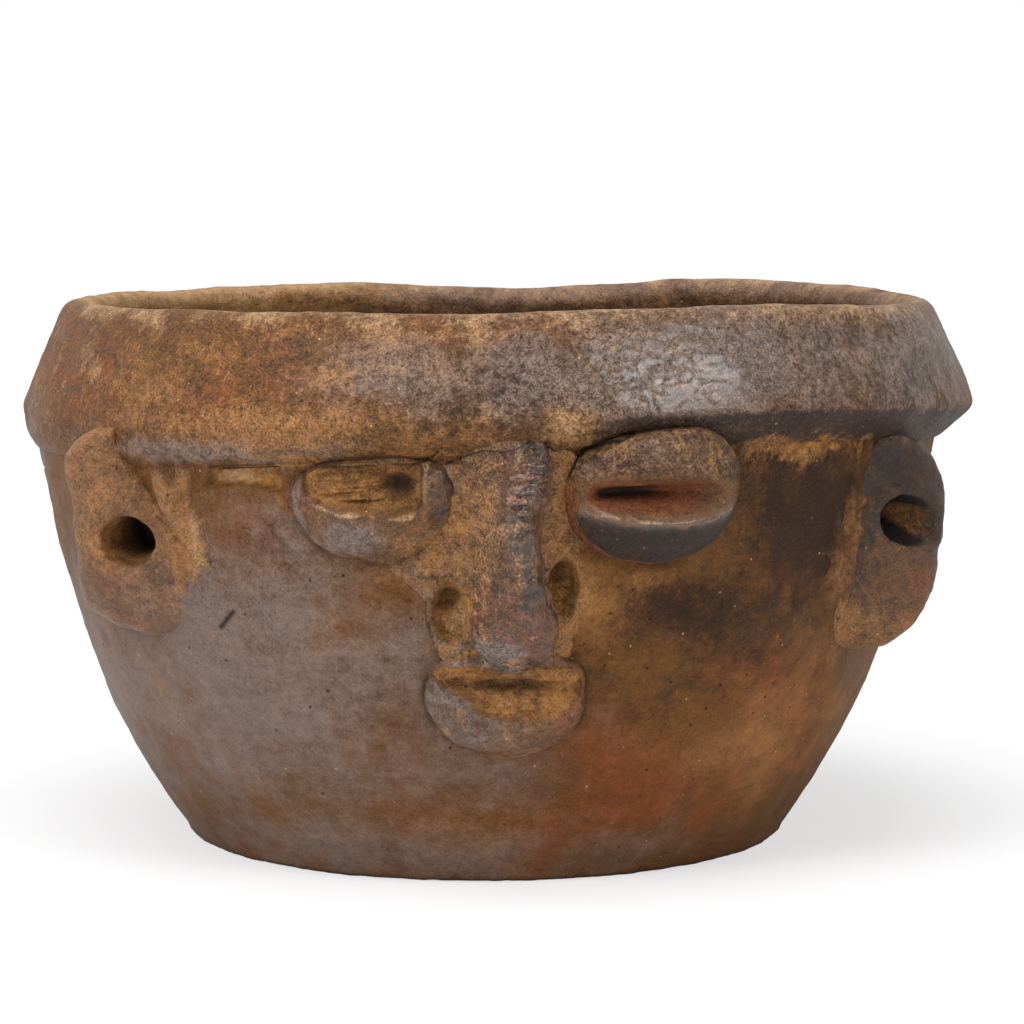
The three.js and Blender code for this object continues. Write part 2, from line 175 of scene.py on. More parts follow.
class StageLook(bpy.types.PropertyGroup):
    """Floor and light."""

    floor: colour_property("Floor", "Colour of the floor", "f4f3f4")
    top: power_property("Top light", "Power of the soft light overhead", 10.0)
    key: power_property("Key light", "Power of the soft light on the left", 9.0)
    fill: power_property("Fill light", "Power of the soft light on the right", 4.6)
    sky: FloatProperty(name="Sky", description="Strength of the light from all round", default=0.2, min=0)
    lens: FloatProperty(name="Lens", description="Focal length in millimetres", default=117, min=1)


def ease(value, low, high):
    """0 beyond low, 1 beyond high, and a smooth cubic step in between. Low may be above high."""
    share = np.clip((value - low) / (high - low), 0, 1)
    return share * share * (3 - 2 * share)


def bell(value, width):
    """1 at zero, falling off to both sides as a bell curve."""
    return np.exp(-np.square(value / width))


def step(value, shape):
    """A smooth step: its amount, and the values where it starts and where it is full."""
    amount, low, high = shape
    return amount * ease(value, low, high)


def hump(value, shape):
    """A bell curve: its amount, middle and width."""
    amount, middle, width = shape
    return amount * bell(value - middle, width)


def dab(across, up, shape):
    """A soft oval patch: its place across and up, half width, half height and strength."""
    place, level, wide, tall, strength = shape
    return strength * bell(np.hypot((across - place) / wide, (up - level) / tall), 1)


def within(value, shape):
    """A step by the distance from a middle: the middle, and the distances where it is 0 and where it is 1."""
    middle, none, full = shape
    return ease(np.abs(value - middle), none, full)


def share_of(value):
    """A value held between 0 and 1."""
    return np.clip(value, 0, 1)


def plane(across, up):
    """Places in the plane of the face as points for the noise."""
    return np.stack([across, up, 0 * up], axis=-1)


def scatter(cell, seed):
    """A number from 0 to 1 for each whole-numbered cell, whose three numbers are weighted and stirred."""
    stirred = sum(cell[..., axis] * weight for axis, weight in enumerate(CELL_WEIGHTS))
    stirred = (stirred + seed * SEED_WEIGHT) & WORD
    for shift, factor in STIRRINGS:
        stirred = ((stirred ^ (stirred >> shift)) * factor) & WORD
    return (stirred ^ (stirred >> LAST_SHIFT)) / WORD


def noise(points, size, seed):
    """Smooth noise from -1 to 1: numbers on a lattice of the given cell size, eased from cell to cell."""
    scaled = points / size
    cell = np.floor(scaled)
    part = ease(scaled - cell, 0, 1)
    cell = cell.astype(np.int64)
    total = 0
    for corner in product((0, 1), repeat=3):
        share = np.where(corner, part, 1 - part).prod(axis=-1)
        total = total + share * scatter(cell + np.array(corner), seed)
    return 2 * total - 1


def layered(points, size, seed, layers=3):
    """Noise with finer and finer layers, each half as big and half as strong as the one before."""
    return sum(noise(points, size / 2 ** at, seed + at) / 2 ** at for at in range(layers))


def uneven(points, kinds):
    """Several kinds of unevenness added up: amount, stretch, size and seed of each."""
    return sum(amount * layered(points * stretch, size, seed) for amount, stretch, size, seed in kinds)


def bezier(start, middle, end, steps):
    """Points of a quadratic curve from start to end, drawn towards middle."""
    share = np.linspace(0, 1, steps)[:, None]
    start, middle, end = np.array(start), np.array(middle), np.array(end)
    return (1 - share) ** 2 * start + 2 * share * (1 - share) * middle + share ** 2 * end


def respaced(line, density, rows):
    """The points of a line again, as many as rows, closer together where density is higher."""
    steps = np.hypot(*np.diff(line, axis=0).T)
    weight = steps * (density[1:] + density[:-1]) / 2
    along = np.concatenate(([0], np.cumsum(weight)))
    wanted = np.linspace(0, along[-1], rows)
    return np.stack([np.interp(wanted, along, line[:, axis]) for axis in (0, 1)], axis=-1)


def bell_weights(reach, spacing, width):
    """Weights that smooth a row of values with a bell curve, as many steps to each side as reach."""
    weights = bell(np.arange(-reach, reach + 1) * spacing, width)
    return weights / weights.sum()


# Where the columns lie closer together: azimuths of the face and the ears, and half their widths
FACE_AZIMUTH = radians(3)
FACE_WIDTH = radians(38)
EAR_AZIMUTHS = (radians(-49), radians(62))
EAR_WIDTH = radians(20)
AZIMUTH_STEPS = 4001


def azimuths(columns, face_density, ear_density):
    """Azimuths all the way round, closer together across the face and the ears."""
    fine = np.linspace(-pi, pi, AZIMUTH_STEPS)
    density = 1 + face_density * bell(fine - FACE_AZIMUTH, FACE_WIDTH) ** 2
    density += ear_density * sum(bell(fine - middle, EAR_WIDTH) for middle in EAR_AZIMUTHS)
    along = np.concatenate(([0], np.cumsum((density[1:] + density[:-1]) / 2)))
    return np.interp(np.linspace(0, along[-1], columns + 1)[:-1], along, fine)


class Bowl:
    """The bowl's own shape, in millimetres, which all pieces follow."""

    BROW_AZIMUTH = radians(25)
    COURSE_HEIGHT = 37
    # Where the lip is pinched up or dented: azimuth and width in degrees, rise
    LIP_PINCHES = ((29, 24, 1.45), (140, 30, 1.6), (176, 15, -1.45), (207, 18, 0.4))
    LIP_SHIFT = 0.6
    # The hand's dents and the facets in them: depth and size, and the levels over which they set in
    DENT = 0.55
    DENT_SIZE = 27
    FACET = 0.16
    FACET_SIZE = 8
    DENT_LEVELS = (1, 18)

    # The collar's section, out and up: from the shoulder, the edge's radius there, and the wall's inside
    CREASE = (0.1, 0.4)
    UNDER_PULL = (2.5, 1.3)
    FACE_PULL = (-2.7, 15.8)
    HOLLOW_PULL = (0.1, 12)
    ROOT = (0.9, -2)
    LIP_INSET = 10
    LIP_START = radians(25)
    CURVE_STEPS = 60
    FACE_STEPS = 90
    ROOT_STEPS = 20
    LOOP_STEPS = 900
    LOOP_SOFT_REACH = 40
    LOOP_SOFT_WIDTH = 10

    # How the collar carries outwards what lies on the wall: start below the shoulder, spacing, smoothing
    CARRY_BELOW = 12
    CARRY_STEP = 0.25
    CARRY_REACH = 24
    CARRY_WIDTH = 2.4

    def __init__(self, sizes):
        self.foot = sizes.foot_radius / MM
        self.belly = sizes.belly_radius / MM
        self.belly_height = sizes.belly_height / MM
        self.shoulder = sizes.shoulder_radius / MM
        self.shoulder_height = sizes.shoulder_height / MM
        self.thickness = sizes.wall_thickness / MM
        self.base = sizes.base_thickness / MM
        self.edge = sizes.collar_radius / MM
        self.undercut = sizes.collar_undercut / MM
        self.lip_height = self.shoulder_height + sizes.collar_height / MM
        self.shift = sizes.collar_shift / MM
        self.lip = sizes.lip_thickness / MM
        self.brow_rise = sizes.brow_rise / MM
        self.carried_height, self.carried_out = self.overhang()

    def wall(self, height):
        """The wall's radius and the two parts of its outward direction.

        The wall is a quadratic curve from the foot to the shoulder, drawn towards the belly, and runs
        straight on above.
        """
        inside = np.clip(height, 0, self.shoulder_height)
        drawn = self.belly_height
        share = inside / (drawn + np.sqrt(drawn * drawn + (self.shoulder_height - 2 * drawn) * inside))
        rest = 1 - share
        radius = rest ** 2 * self.foot + 2 * share * rest * self.belly + share ** 2 * self.shoulder
        run = rest * (self.belly - self.foot) + share * (self.shoulder - self.belly)
        climb = rest * drawn + share * (self.shoulder_height - drawn)
        length = np.hypot(run, climb)
        return radius + (height - inside) * run / climb, climb / length, -run / length

    def brow(self, azimuth, height):
        """How far the clay is lifted over the face: a squared cosine about the brow, growing with height."""
        lift = np.maximum(np.cos(azimuth - self.BROW_AZIMUTH), 0) ** 2
        return self.brow_rise * lift * ease(height, self.COURSE_HEIGHT, self.shoulder_height)

    def lip_rise(self, azimuth):
        """How far the lip is pinched up or dented: a bell curve round each place."""
        total = 0
        for middle, width, rise in self.LIP_PINCHES:
            away = np.mod(azimuth - radians(middle) + pi, 2 * pi) - pi
            total = total + rise * bell(away, radians(width))
        return total

    def drum(self, azimuth, level):
        """Points on an upright drum of the shoulder's radius, for noise that runs round the pot."""
        level = level + 0 * azimuth
        east = self.shoulder * np.sin(azimuth)
        south = -self.shoulder * np.cos(azimuth)
        return np.stack([east + 0 * level, south + 0 * level, level], axis=-1)

    def shaped(self, azimuth, radius, level):
        """Points at a radius and level, with the brow, the lip's wave, the collar's shift and the dents."""
        lip = ease(level, self.shoulder_height, self.lip_height)
        rise = self.brow(azimuth, level) * (1 - lip) + self.lip_rise(azimuth) * lip
        level = level + 0 * azimuth
        spots = self.drum(azimuth, level)
        dent = self.DENT * layered(spots, self.DENT_SIZE, DENT_SEED)
        dent = dent + self.FACET * noise(spots, self.FACET_SIZE, SKIN_SEED)
        radius = radius + dent * ease(level, *self.DENT_LEVELS)
        shift = self.shift * ease(level, self.shoulder_height, self.shoulder_height + self.undercut)
        shift = shift + self.LIP_SHIFT * lip
        return np.stack([radius * np.sin(azimuth) + shift, -radius * np.cos(azimuth), level + rise], axis=-1)

    def on_wall(self, azimuth, height, out):
        """Points that stand out from the wall by some depth, along the wall's outward direction."""
        radius, out_radius, out_level = self.wall(height)
        return self.shaped(azimuth, radius + out_radius * out, height + out_level * out)

    def collar_loop(self):
        """The collar's closed section: underside, outer face, rolled lip, inner face and root in the wall."""
        shoulder = np.array((self.shoulder, self.shoulder_height))
        inside = shoulder - (self.thickness, 0)
        below_edge = np.array((self.edge, self.shoulder_height))
        crease = shoulder + self.CREASE
        edge = below_edge + (0, self.undercut)
        under = bezier(crease, shoulder + self.UNDER_PULL, edge, self.CURVE_STEPS)
        lip_middle = np.array((self.edge - self.LIP_INSET, self.lip_height - self.lip / 2))
        roll = np.linspace(self.LIP_START, pi, self.CURVE_STEPS)
        lip = lip_middle + self.lip / 2 * np.stack([np.cos(roll), np.sin(roll)], axis=-1)
        face = bezier(edge, below_edge + self.FACE_PULL, lip[0], self.FACE_STEPS)
        inner = bezier(lip[-1], inside + self.HOLLOW_PULL, inside + self.ROOT, self.CURVE_STEPS)
        root = np.linspace(inner[-1], crease, self.ROOT_STEPS)
        loop = np.concatenate([under, face[1:], lip[1:], inner[1:], root[1:-1]])
        closed = np.concatenate([loop, loop[:1]])
        even = respaced(closed, np.ones(len(closed)), self.LOOP_STEPS + 1)[:-1]
        reach = self.LOOP_SOFT_REACH
        weights = bell_weights(reach, 1, self.LOOP_SOFT_WIDTH)
        soft = sum(weight * np.roll(even, at - reach, axis=0) for at, weight in enumerate(weights))
        return np.concatenate([soft, soft[:1]])

    def overhang(self):
        """How far the collar stands out from the wall's straight run above the shoulder, smoothed."""
        loop = self.collar_loop()
        top = np.argmax(loop[:, 1])
        _, out_radius, out_level = self.wall(np.array(self.shoulder_height))
        away = loop[:top] - np.array((self.shoulder, self.shoulder_height))
        out = away @ np.array((out_radius, out_level))
        along = away @ np.array((-out_level, out_radius))
        height = np.maximum.accumulate(self.shoulder_height + along * out_radius)
        even = np.arange(self.shoulder_height - self.CARRY_BELOW, self.lip_height, self.CARRY_STEP)
        raw = np.pad(np.interp(even, height, np.maximum(out, 0), left=0), self.CARRY_REACH, mode="edge")
        weights = bell_weights(self.CARRY_REACH, self.CARRY_STEP, self.CARRY_WIDTH)
        return even, np.convolve(raw, weights, mode="valid")

    def carried(self, height):
        """How far whatever lies on the pot is carried outwards by the collar at a height."""
        return np.interp(height, self.carried_height, self.carried_out, left=0)


Sheet = namedtuple("Sheet", "points across up share")


class Seat:
    """A place on the wall, with millimetres across and up from it, along the wall."""

    # Tries until the height below the brow's lift settles
    TRIES = 6

    def __init__(self, bowl, azimuth, level):
        self.bowl = bowl
        self.azimuth = radians(azimuth)
        height = level
        for _ in range(self.TRIES):
            height = level - float(bowl.brow(self.azimuth, height))
        self.height = height
        radius, self.climb, self.tip = bowl.wall(np.array(height))
        self.radius = float(radius)

    def wall(self, across, up):
        """Azimuth and height of a point that lies so far across and up from the seat."""
        return self.azimuth + across / self.radius, self.height + up * self.climb

    def local(self, azimuth, height):
        """How far across and up from the seat a point of the wall lies."""
        return (azimuth - self.azimuth) * self.radius, (height - self.height) / self.climb


def seat_at(context, place):
    """The seat of an applied piece on the bowl."""
    return Seat(Bowl(context.scene.bowl_sizes), *place)


# Radius of the ring on which the noise of a ragged outline is read
RAGGED_RING = 20

# Steps of the curve that rounds a lump off, and of its flat start
ROUND_STEPS = 2000
FLAT_STEPS = 200

# Shares of the way to the border at which a lump's back is drawn
BACK_SHARES = (0.97, 0)

# The least length that a direction is divided by
TINY = 1e-9


def oval(left, right, top, bottom, squareness, tilt=0.0):
    """An outline's reach in each direction: a tilted superellipse with its own size to each of four sides."""
    def reach(turn):
        aside, above = np.cos(turn - tilt), np.sin(turn - tilt)
        across = np.abs(aside) / np.where(aside > 0, right, left)
        up = np.abs(above) / np.where(above > 0, top, bottom)
        return (across ** squareness + up ** squareness) ** (-1 / squareness)
    return reach


def filling(reach, ragged=0.0, size=8, seed=EDGE_SEED):
    """A spread that fills an outline, made ragged by noise round its border."""
    def spread(share, turn):
        ring = RAGGED_RING * np.stack([np.cos(turn), np.sin(turn), 0 * turn], axis=-1)
        far = reach(turn) * (1 + ragged * layered(ring, size, seed))
        return share * far * np.cos(turn), share * far * np.sin(turn)
    return spread


def rounding(rings, squareness, tall):
    """Shares of reach and of height, evenly spaced along a superellipse from the middle to the border."""
    turn = np.linspace(0, pi / 2, ROUND_STEPS)
    line = np.stack([np.sin(turn) ** (2 / squareness), np.cos(turn) ** (2 / squareness)], axis=-1)
    line = np.concatenate([[[0, 1]], np.linspace((0, 1), line[1], FLAT_STEPS)[1:], line[2:]])
    even = respaced(line * (1, tall), np.ones(len(line)), rings)
    return even[:, 0], even[:, 1] / tall


def pressed_on(
    seat, spread, squareness, stand, top,
    rings=130, spokes=360, sink=0.8, depth=3.0, tall=0.6, lift=None, lean=None,
):
    """A lump of clay pressed on the wall, as rings and spokes.

    Spread gives the place across and up of a share of the way to the border in each direction. A point stands
    out by the height of the top there, rounded off to the border, which is sunk in the clay below. A flat
    back inside the wall closes the lump. The wall leans out, so what stands out is seen lower: the top is
    drawn at its seen place.
    Lift weakens the collar's carrying. Lean moves points across, for a hollow that doesn't go straight in.
    """
    turn = np.linspace(0, 2 * pi, spokes, endpoint=False)[None, :]
    share, edge = rounding(rings, squareness, tall)
    share = np.concatenate([share, BACK_SHARES])[:, None]
    edge = np.concatenate([edge, np.zeros(len(BACK_SHARES))])[:, None]
    across, up = spread(share, turn)
    azimuth, height = seat.wall(across, up)
    seen = up + seat.tip * stand * edge
    carried = seat.bowl.carried(height)
    if lift is not None:
        carried = carried * lift(across, seen)
    out = (top(across, seen) + sink) * edge - sink + carried
    if lean is not None:
        azimuth = azimuth + lean(across, seen) * edge / seat.radius
    out[-len(BACK_SHARES):] = -depth
    return Sheet(seat.bowl.on_wall(azimuth, height, out), across, seen, share + 0 * turn)


def roughened(sheet, size, amount, layers=4):
    """The same sheet with fine unevenness along its outward direction, which the grid's two slopes give."""
    points = sheet.points
    down = np.gradient(points, axis=0)
    around = (np.roll(points, -1, axis=1) - np.roll(points, 1, axis=1)) / 2
    out = np.cross(around, down)
    out /= np.maximum(np.linalg.norm(out, axis=-1, keepdims=True), TINY)
    moved = points + out * (amount * layered(points, size, SKIN_SEED, layers))[..., None]
    moved[[0, -1]] = points[[0, -1]]
    return sheet._replace(points=moved)


def near_line(across, up, line, width):
    """1 along a broken line in the plane of the face, falling off over the given width."""
    nearest = np.full(np.shape(across), np.inf)
    for (x0, y0), (x1, y1) in zip(line[:-1], line[1:]):
        length = (x1 - x0) ** 2 + (y1 - y0) ** 2
        share = share_of(((across - x0) * (x1 - x0) + (up - y0) * (y1 - y0)) / length)
        apart = np.hypot(across - x0 - share * (x1 - x0), up - y0 - share * (y1 - y0))
        nearest = np.minimum(nearest, apart)
    return bell(nearest, width)


def over(masks, key, *values):
    """Lays values over a mask, each where it is stronger than what is there."""
    for value in values:
        masks[key] = np.maximum(masks[key], value)


def faded(masks, keys, share):
    """Leaves only a share of some masks."""
    for key in keys:
        masks[key] = masks[key] * share


def blended(masks, own, weight):
    """The masks of the pot with a piece's own masks over them, by weight."""
    mixed = {key: masks[key] * (1 - weight) + value * weight for key, value in own.items()}
    return {**masks, **mixed}


# Cracks where the clay of the face meets the collar, as places across and up the front
NOSE_CRACK = (
    (-11.4, 75.5), (-8.9, 76.6), (-7.1, 78.4), (-6, 76.2), (-2.7, 77.4), (0.3, 78.5),
    (3.3, 78.4), (7.2, 79.5), (9.1, 78.5), (11, 79.5), (12.2, 78.4),
)
EYE_CRACK = ((14.7, 75), (16.8, 78.1), (21.3, 79.6), (25.1, 81.1))

# The cracks' widths, their darkness, how jagged they are, and how their width changes along them
CRACK_WIDTHS = ((NOSE_CRACK, 0.3), (EYE_CRACK, 0.4))
CRACK_DARKNESS = 0.85
CRACK_JAG = 0.45
CRACK_JAG_SIZE = 1.8
CRACK_UP_SEED = EDGE_SEED + 5
CRACK_MEAN = 0.75
CRACK_CHANGE = 0.35
CRACK_CHANGE_SIZE = 4

# The edge of the clay wiped round the left eye: its line, darkness, width, jaggedness and gaps
WIPED_EDGE = ((-40, 69.5), (-34, 62.5), (-27.5, 57.5), (-18, 55.2), (-10, 52))
WIPED_DARKNESS = 0.42
WIPED_WIDTH = 0.55
WIPED_JAG = 0.6
WIPED_JAG_SIZE = 2.5
WIPED_GAP_SIZE = 5
WIPED_GAPS = (-0.5, 0.2)

# A dark dash on the left cheek: its line, darkness and width
DARK_DASH = ((-44.9, 46.2), (-42.6, 49.2))
DASH_DARKNESS = 0.75
DASH_WIDTH = 0.6

# Clouds of colour on the front: place across and up, half width, half height, strength
CLOUDS = {
    "smoke": (
        # The band at 46 across and 79.5 up, under the collar's edge, is dark slip and painted shade
        (57, 66, 17, 17, 0.9), (46, 79.5, 36, 4.5, 0.75), (42, 49, 26, 12, 0.68), (66, 49, 14, 16, 0.5),
        (20, 40, 12, 8, 0.4), (76, 74, 9, 7, 0.6), (1, 86, 18, 6, 0.5), (62, 96, 16, 5, 0.4),
        (-64, 94, 9, 4, 0.16), (-52, 88, 9, 4, 0.14), (-33, 94, 7, 4, 0.16), (-4, 84, 20, 3, 0.4),
        (73, 86, 18, 10, 0.5), (-30, 60, 12, 10, 0.25), (-13, 34, 12, 15, 0.22), (30, 35, 17, 6, 0.42),
    ),
    "grey": (
        (-46, 38, 42, 30, 0.85), (-66, 30, 24, 32, 0.75), (-46, 77.5, 28, 3, 0.75), (-13, 91, 15, 8, 0.75),
        (40, 92, 34, 11, 0.9), (78, 92, 20, 12, 0.8), (-4, 27, 22, 18, 0.6), (-18, 44, 15, 14, 0.7),
        (-24, 6, 62, 9, 0.6), (-84, 70, 7, 14, 0.8), (8, 92, 16, 8, 0.75),
    ),
    "red": (
        (26, 18, 18, 12, 0.85), (13, 10, 16, 6, 0.6), (-38, 88, 14, 7, 0.42), (-73, 88, 14, 9, 0.5),
        (52, 40, 12, 8, 0.4), (50, 24, 20, 14, 0.6), (-34.8, 50, 2.2, 1.8, 0.8), (-36, 57, 2, 2, 0.5),
        (-52, 62, 14, 10, 0.4),
    ),
    "tan": (
        (-33, 81.5, 30, 4.5, 0.85), (-3, 11, 27, 6, 0.35), (50, 23, 18, 13, 0.58), (58, 42, 10, 8, 0.3),
        (-80, 84, 8, 10, 0.35), (14.8, 82.6, 4.4, 3, 1.0), (-12, 98, 36, 3, 0.42), (-60, 88, 14, 8, 0.4),
        (-48, 94, 7, 4, 0.5), (-26, 91, 5, 4, 0.45), (-14, 93, 16, 5, 0.4), (-58, 38, 8, 12, 0.35),
        (-16, 58, 9, 4, 0.4), (17, 54, 8, 9, 0.75), (25, 56, 9, 4.5, 0.5), (51, 77, 12, 3, 0.6),
    ),
}
CRACKLED = ((30, 91, 21, 8.5, 1.0),)
WORN_CLOUDS = (
    (-57.5, 98, 4.2, 2, 0.55), (-77, 91, 2, 5.5, 0.6), (-69, 91, 1.6, 5.5, 0.5), (14.8, 82.8, 3.8, 2.5, 0.42),
)

# How noise draws the clouds out: its size, and how far it moves them across and up
CLOUD_WANDER_SIZE = 7
CLOUD_WANDER_ACROSS = 2.2
CLOUD_WANDER_UP = 1.6
CLOUD_UP_SEED = CLOUD_SEED + 7

# Patches that noise gives on the back: strength, size, seed, and the noise where they start and are full
BACK_PATCHES = {
    "smoke": (0.7, 46, CLOUD_SEED, (-0.2, 0.9)),
    "grey": (0.6, 38, CLOUD_SEED + 3, (-0.3, 0.9)),
    "red": (0.6, 40, CLOUD_SEED + 5, (-0.2, 0.9)),
    "tan": (0.5, 34, CLOUD_SEED + 9, (-0.2, 0.9)),
}

# Places along Y over which the front's lines, its clouds and the back's patches set in
LINES_FROM = (0, -20)
CLOUDS_FROM = (12, -12)
BACK_FROM = (-25, 20)

# Gloss of the plain slip, and what the grey bloom and the smoke add to it
PLAIN_GLOSS = 0.3
GREY_GLOSS = 0.4
SMOKE_GLOSS = 0.2

# Grain at the foot, and how it grows up the wall and at the collar: amount, from level, to level
FOOT_GRAIN = 0.12
WALL_GRAIN = (0.2, 30, 60)
COLLAR_GRAIN = (0.68, 71, 77)


def front(points):
    """1 on the front of the pot and 0 on the back."""
    return ease(points[..., 1], *LINES_FROM)


def cracked(points):
    """The cracks between nose, eye and collar, made jagged by noise."""
    across = points[..., 0] + CRACK_JAG * layered(points, CRACK_JAG_SIZE, EDGE_SEED)
    up = points[..., 2] + CRACK_JAG * layered(points, CRACK_JAG_SIZE, CRACK_UP_SEED)
    wide = CRACK_MEAN + CRACK_CHANGE * noise(points, CRACK_CHANGE_SIZE, CLOUD_SEED)
    nose, eye = (near_line(across, up, line, width * wide) for line, width in CRACK_WIDTHS)
    return CRACK_DARKNESS * np.maximum(nose, eye) * front(points)


def clouds(points, spots):
    """Soft patches on the front of the pot, with their outlines drawn out by noise."""
    across = points[..., 0] + CLOUD_WANDER_ACROSS * layered(points, CLOUD_WANDER_SIZE, CLOUD_SEED)
    up = points[..., 2] + CLOUD_WANDER_UP * layered(points, CLOUD_WANDER_SIZE, CLOUD_UP_SEED)
    total = 0
    for shape in spots:
        total = np.maximum(total, dab(across, up, shape))
    return total * ease(points[..., 1], *CLOUDS_FROM)


def firing(points):
    """The masks that the fire and the hand left all over the pot."""
    across, up = points[..., 0], points[..., 2]
    back = ease(points[..., 1], *BACK_FROM)
    masks = {key: np.zeros(points.shape[:-1]) for key in MASKS}
    for key, (strength, size, seed, span) in BACK_PATCHES.items():
        patches = strength * back * ease(layered(points, size, seed), *span)
        masks[key] = clouds(points, CLOUDS[key]) + patches
    masks["worn"] = clouds(points, WORN_CLOUDS)
    jagged = up + WIPED_JAG * layered(points, WIPED_JAG_SIZE, EDGE_SEED)
    wiped = WIPED_DARKNESS * near_line(across, jagged, WIPED_EDGE, WIPED_WIDTH)
    wiped = wiped * ease(layered(points, WIPED_GAP_SIZE, STREAK_SEED), *WIPED_GAPS)
    dash = DASH_DARKNESS * near_line(across, up, DARK_DASH, DASH_WIDTH)
    masks["crack"] = np.maximum(cracked(points), (dash + wiped) * front(points))
    masks["gloss"] = share_of(PLAIN_GLOSS + GREY_GLOSS * masks["grey"] + SMOKE_GLOSS * masks["smoke"])
    masks["grain"] = FOOT_GRAIN + step(up, WALL_GRAIN) + step(up, COLLAR_GRAIN)
    return masks


class Wire:
    """One output socket of a node tree. Arithmetic on it adds Math nodes, and node() adds any other node."""

    # Sockets of the Mix node for colours: the two inputs and the output
    MIX_BELOW = 6
    MIX_ABOVE = 7
    MIX_OUT = 2

    # The middle of a noise that runs from 0 to 1
    MIDDLE = 0.5

    def __init__(self, tree, socket=None):
        self.tree = tree
        self.socket = socket

    def node(self, kind, settings, sockets, out=0):
        """A new node of a kind: first its settings, then values or links for its sockets."""
        made = self.tree.nodes.new(kind)
        for name, value in settings.items():
            setattr(made, name, value)
        for name, value in sockets.items():
            if isinstance(value, Wire):
                self.tree.links.new(value.socket, made.inputs[name])
            else:
                made.inputs[name].default_value = value
        return Wire(self.tree, made.outputs[out] if made.outputs else None)

    def maths(self, operation, *values):
        """A Math node on some values."""
        return self.node("ShaderNodeMath", {"operation": operation}, dict(enumerate(values)))

    def vector(self, operation, sockets, out=0):
        """A Vector Math node."""
        return self.node("ShaderNodeVectorMath", {"operation": operation}, sockets, out)

    def __add__(self, other):
        return self.maths("ADD", self, other)

    __radd__ = __add__

    def __sub__(self, other):
        return self.maths("SUBTRACT", self, other)

    def __rsub__(self, other):
        return self.maths("SUBTRACT", other, self)

    def __mul__(self, other):
        return self.maths("MULTIPLY", self, other)

    __rmul__ = __mul__

    def at_least(self, least):
        """This value, or the least one where it would be below."""
        return self.maths("MAXIMUM", self, least)

    def swing(self, amount):
        """How far this noise lies above or below its middle, times an amount."""
        return (self - self.MIDDLE) * amount

    def lift(self, base, more):
        """A base value, with more on top as this grows to 1."""
        return base + more * self

    def ease(self, low, high):
        """0 below low, 1 above high, smooth in between."""
        sockets = {"Value": self, "From Min": low, "From Max": high}
        return self.node("ShaderNodeMapRange", {"interpolation_type": "SMOOTHSTEP"}, sockets)

    def mix(self, below, above):
        """A colour between two, by this share."""
        sockets = {0: self, self.MIX_BELOW: below, self.MIX_ABOVE: above}
        return self.node("ShaderNodeMix", {"data_type": "RGBA"}, sockets, self.MIX_OUT)

    def noise(self, size, detail, roughness):
        """Noise from 0 to 1 on this vector, with features of a size in the vector's own unit."""
        sockets = {"Vector": self, "Scale": 1 / size, "Detail": detail, "Roughness": roughness}
        return self.node("ShaderNodeTexNoise", {}, sockets, "Fac")

    def cells(self, size, out, feature="F1"):
        """Cells of a size on this vector: the distance in cells or each cell's own colour."""
        sockets = {"Vector": self, "Scale": 1 / size}
        return self.node("ShaderNodeTexVoronoi", {"feature": feature}, sockets, out)

    def specks(self, size, channel, reach, chosen):
        """Specks in a few cells of a size on this vector: how far each reaches, and which cells have one."""
        kind = self.node("ShaderNodeSeparateColor", {}, {0: self.cells(size, "Color")}, channel)
        return (1 - self.cells(size, "Distance").ease(*reach)) * kind.ease(*chosen)


def solid(colour, brightness=1.0):
    """A colour property as the four numbers that a socket takes, made darker or lighter."""
    return (*(value * brightness for value in colour), 1.0)


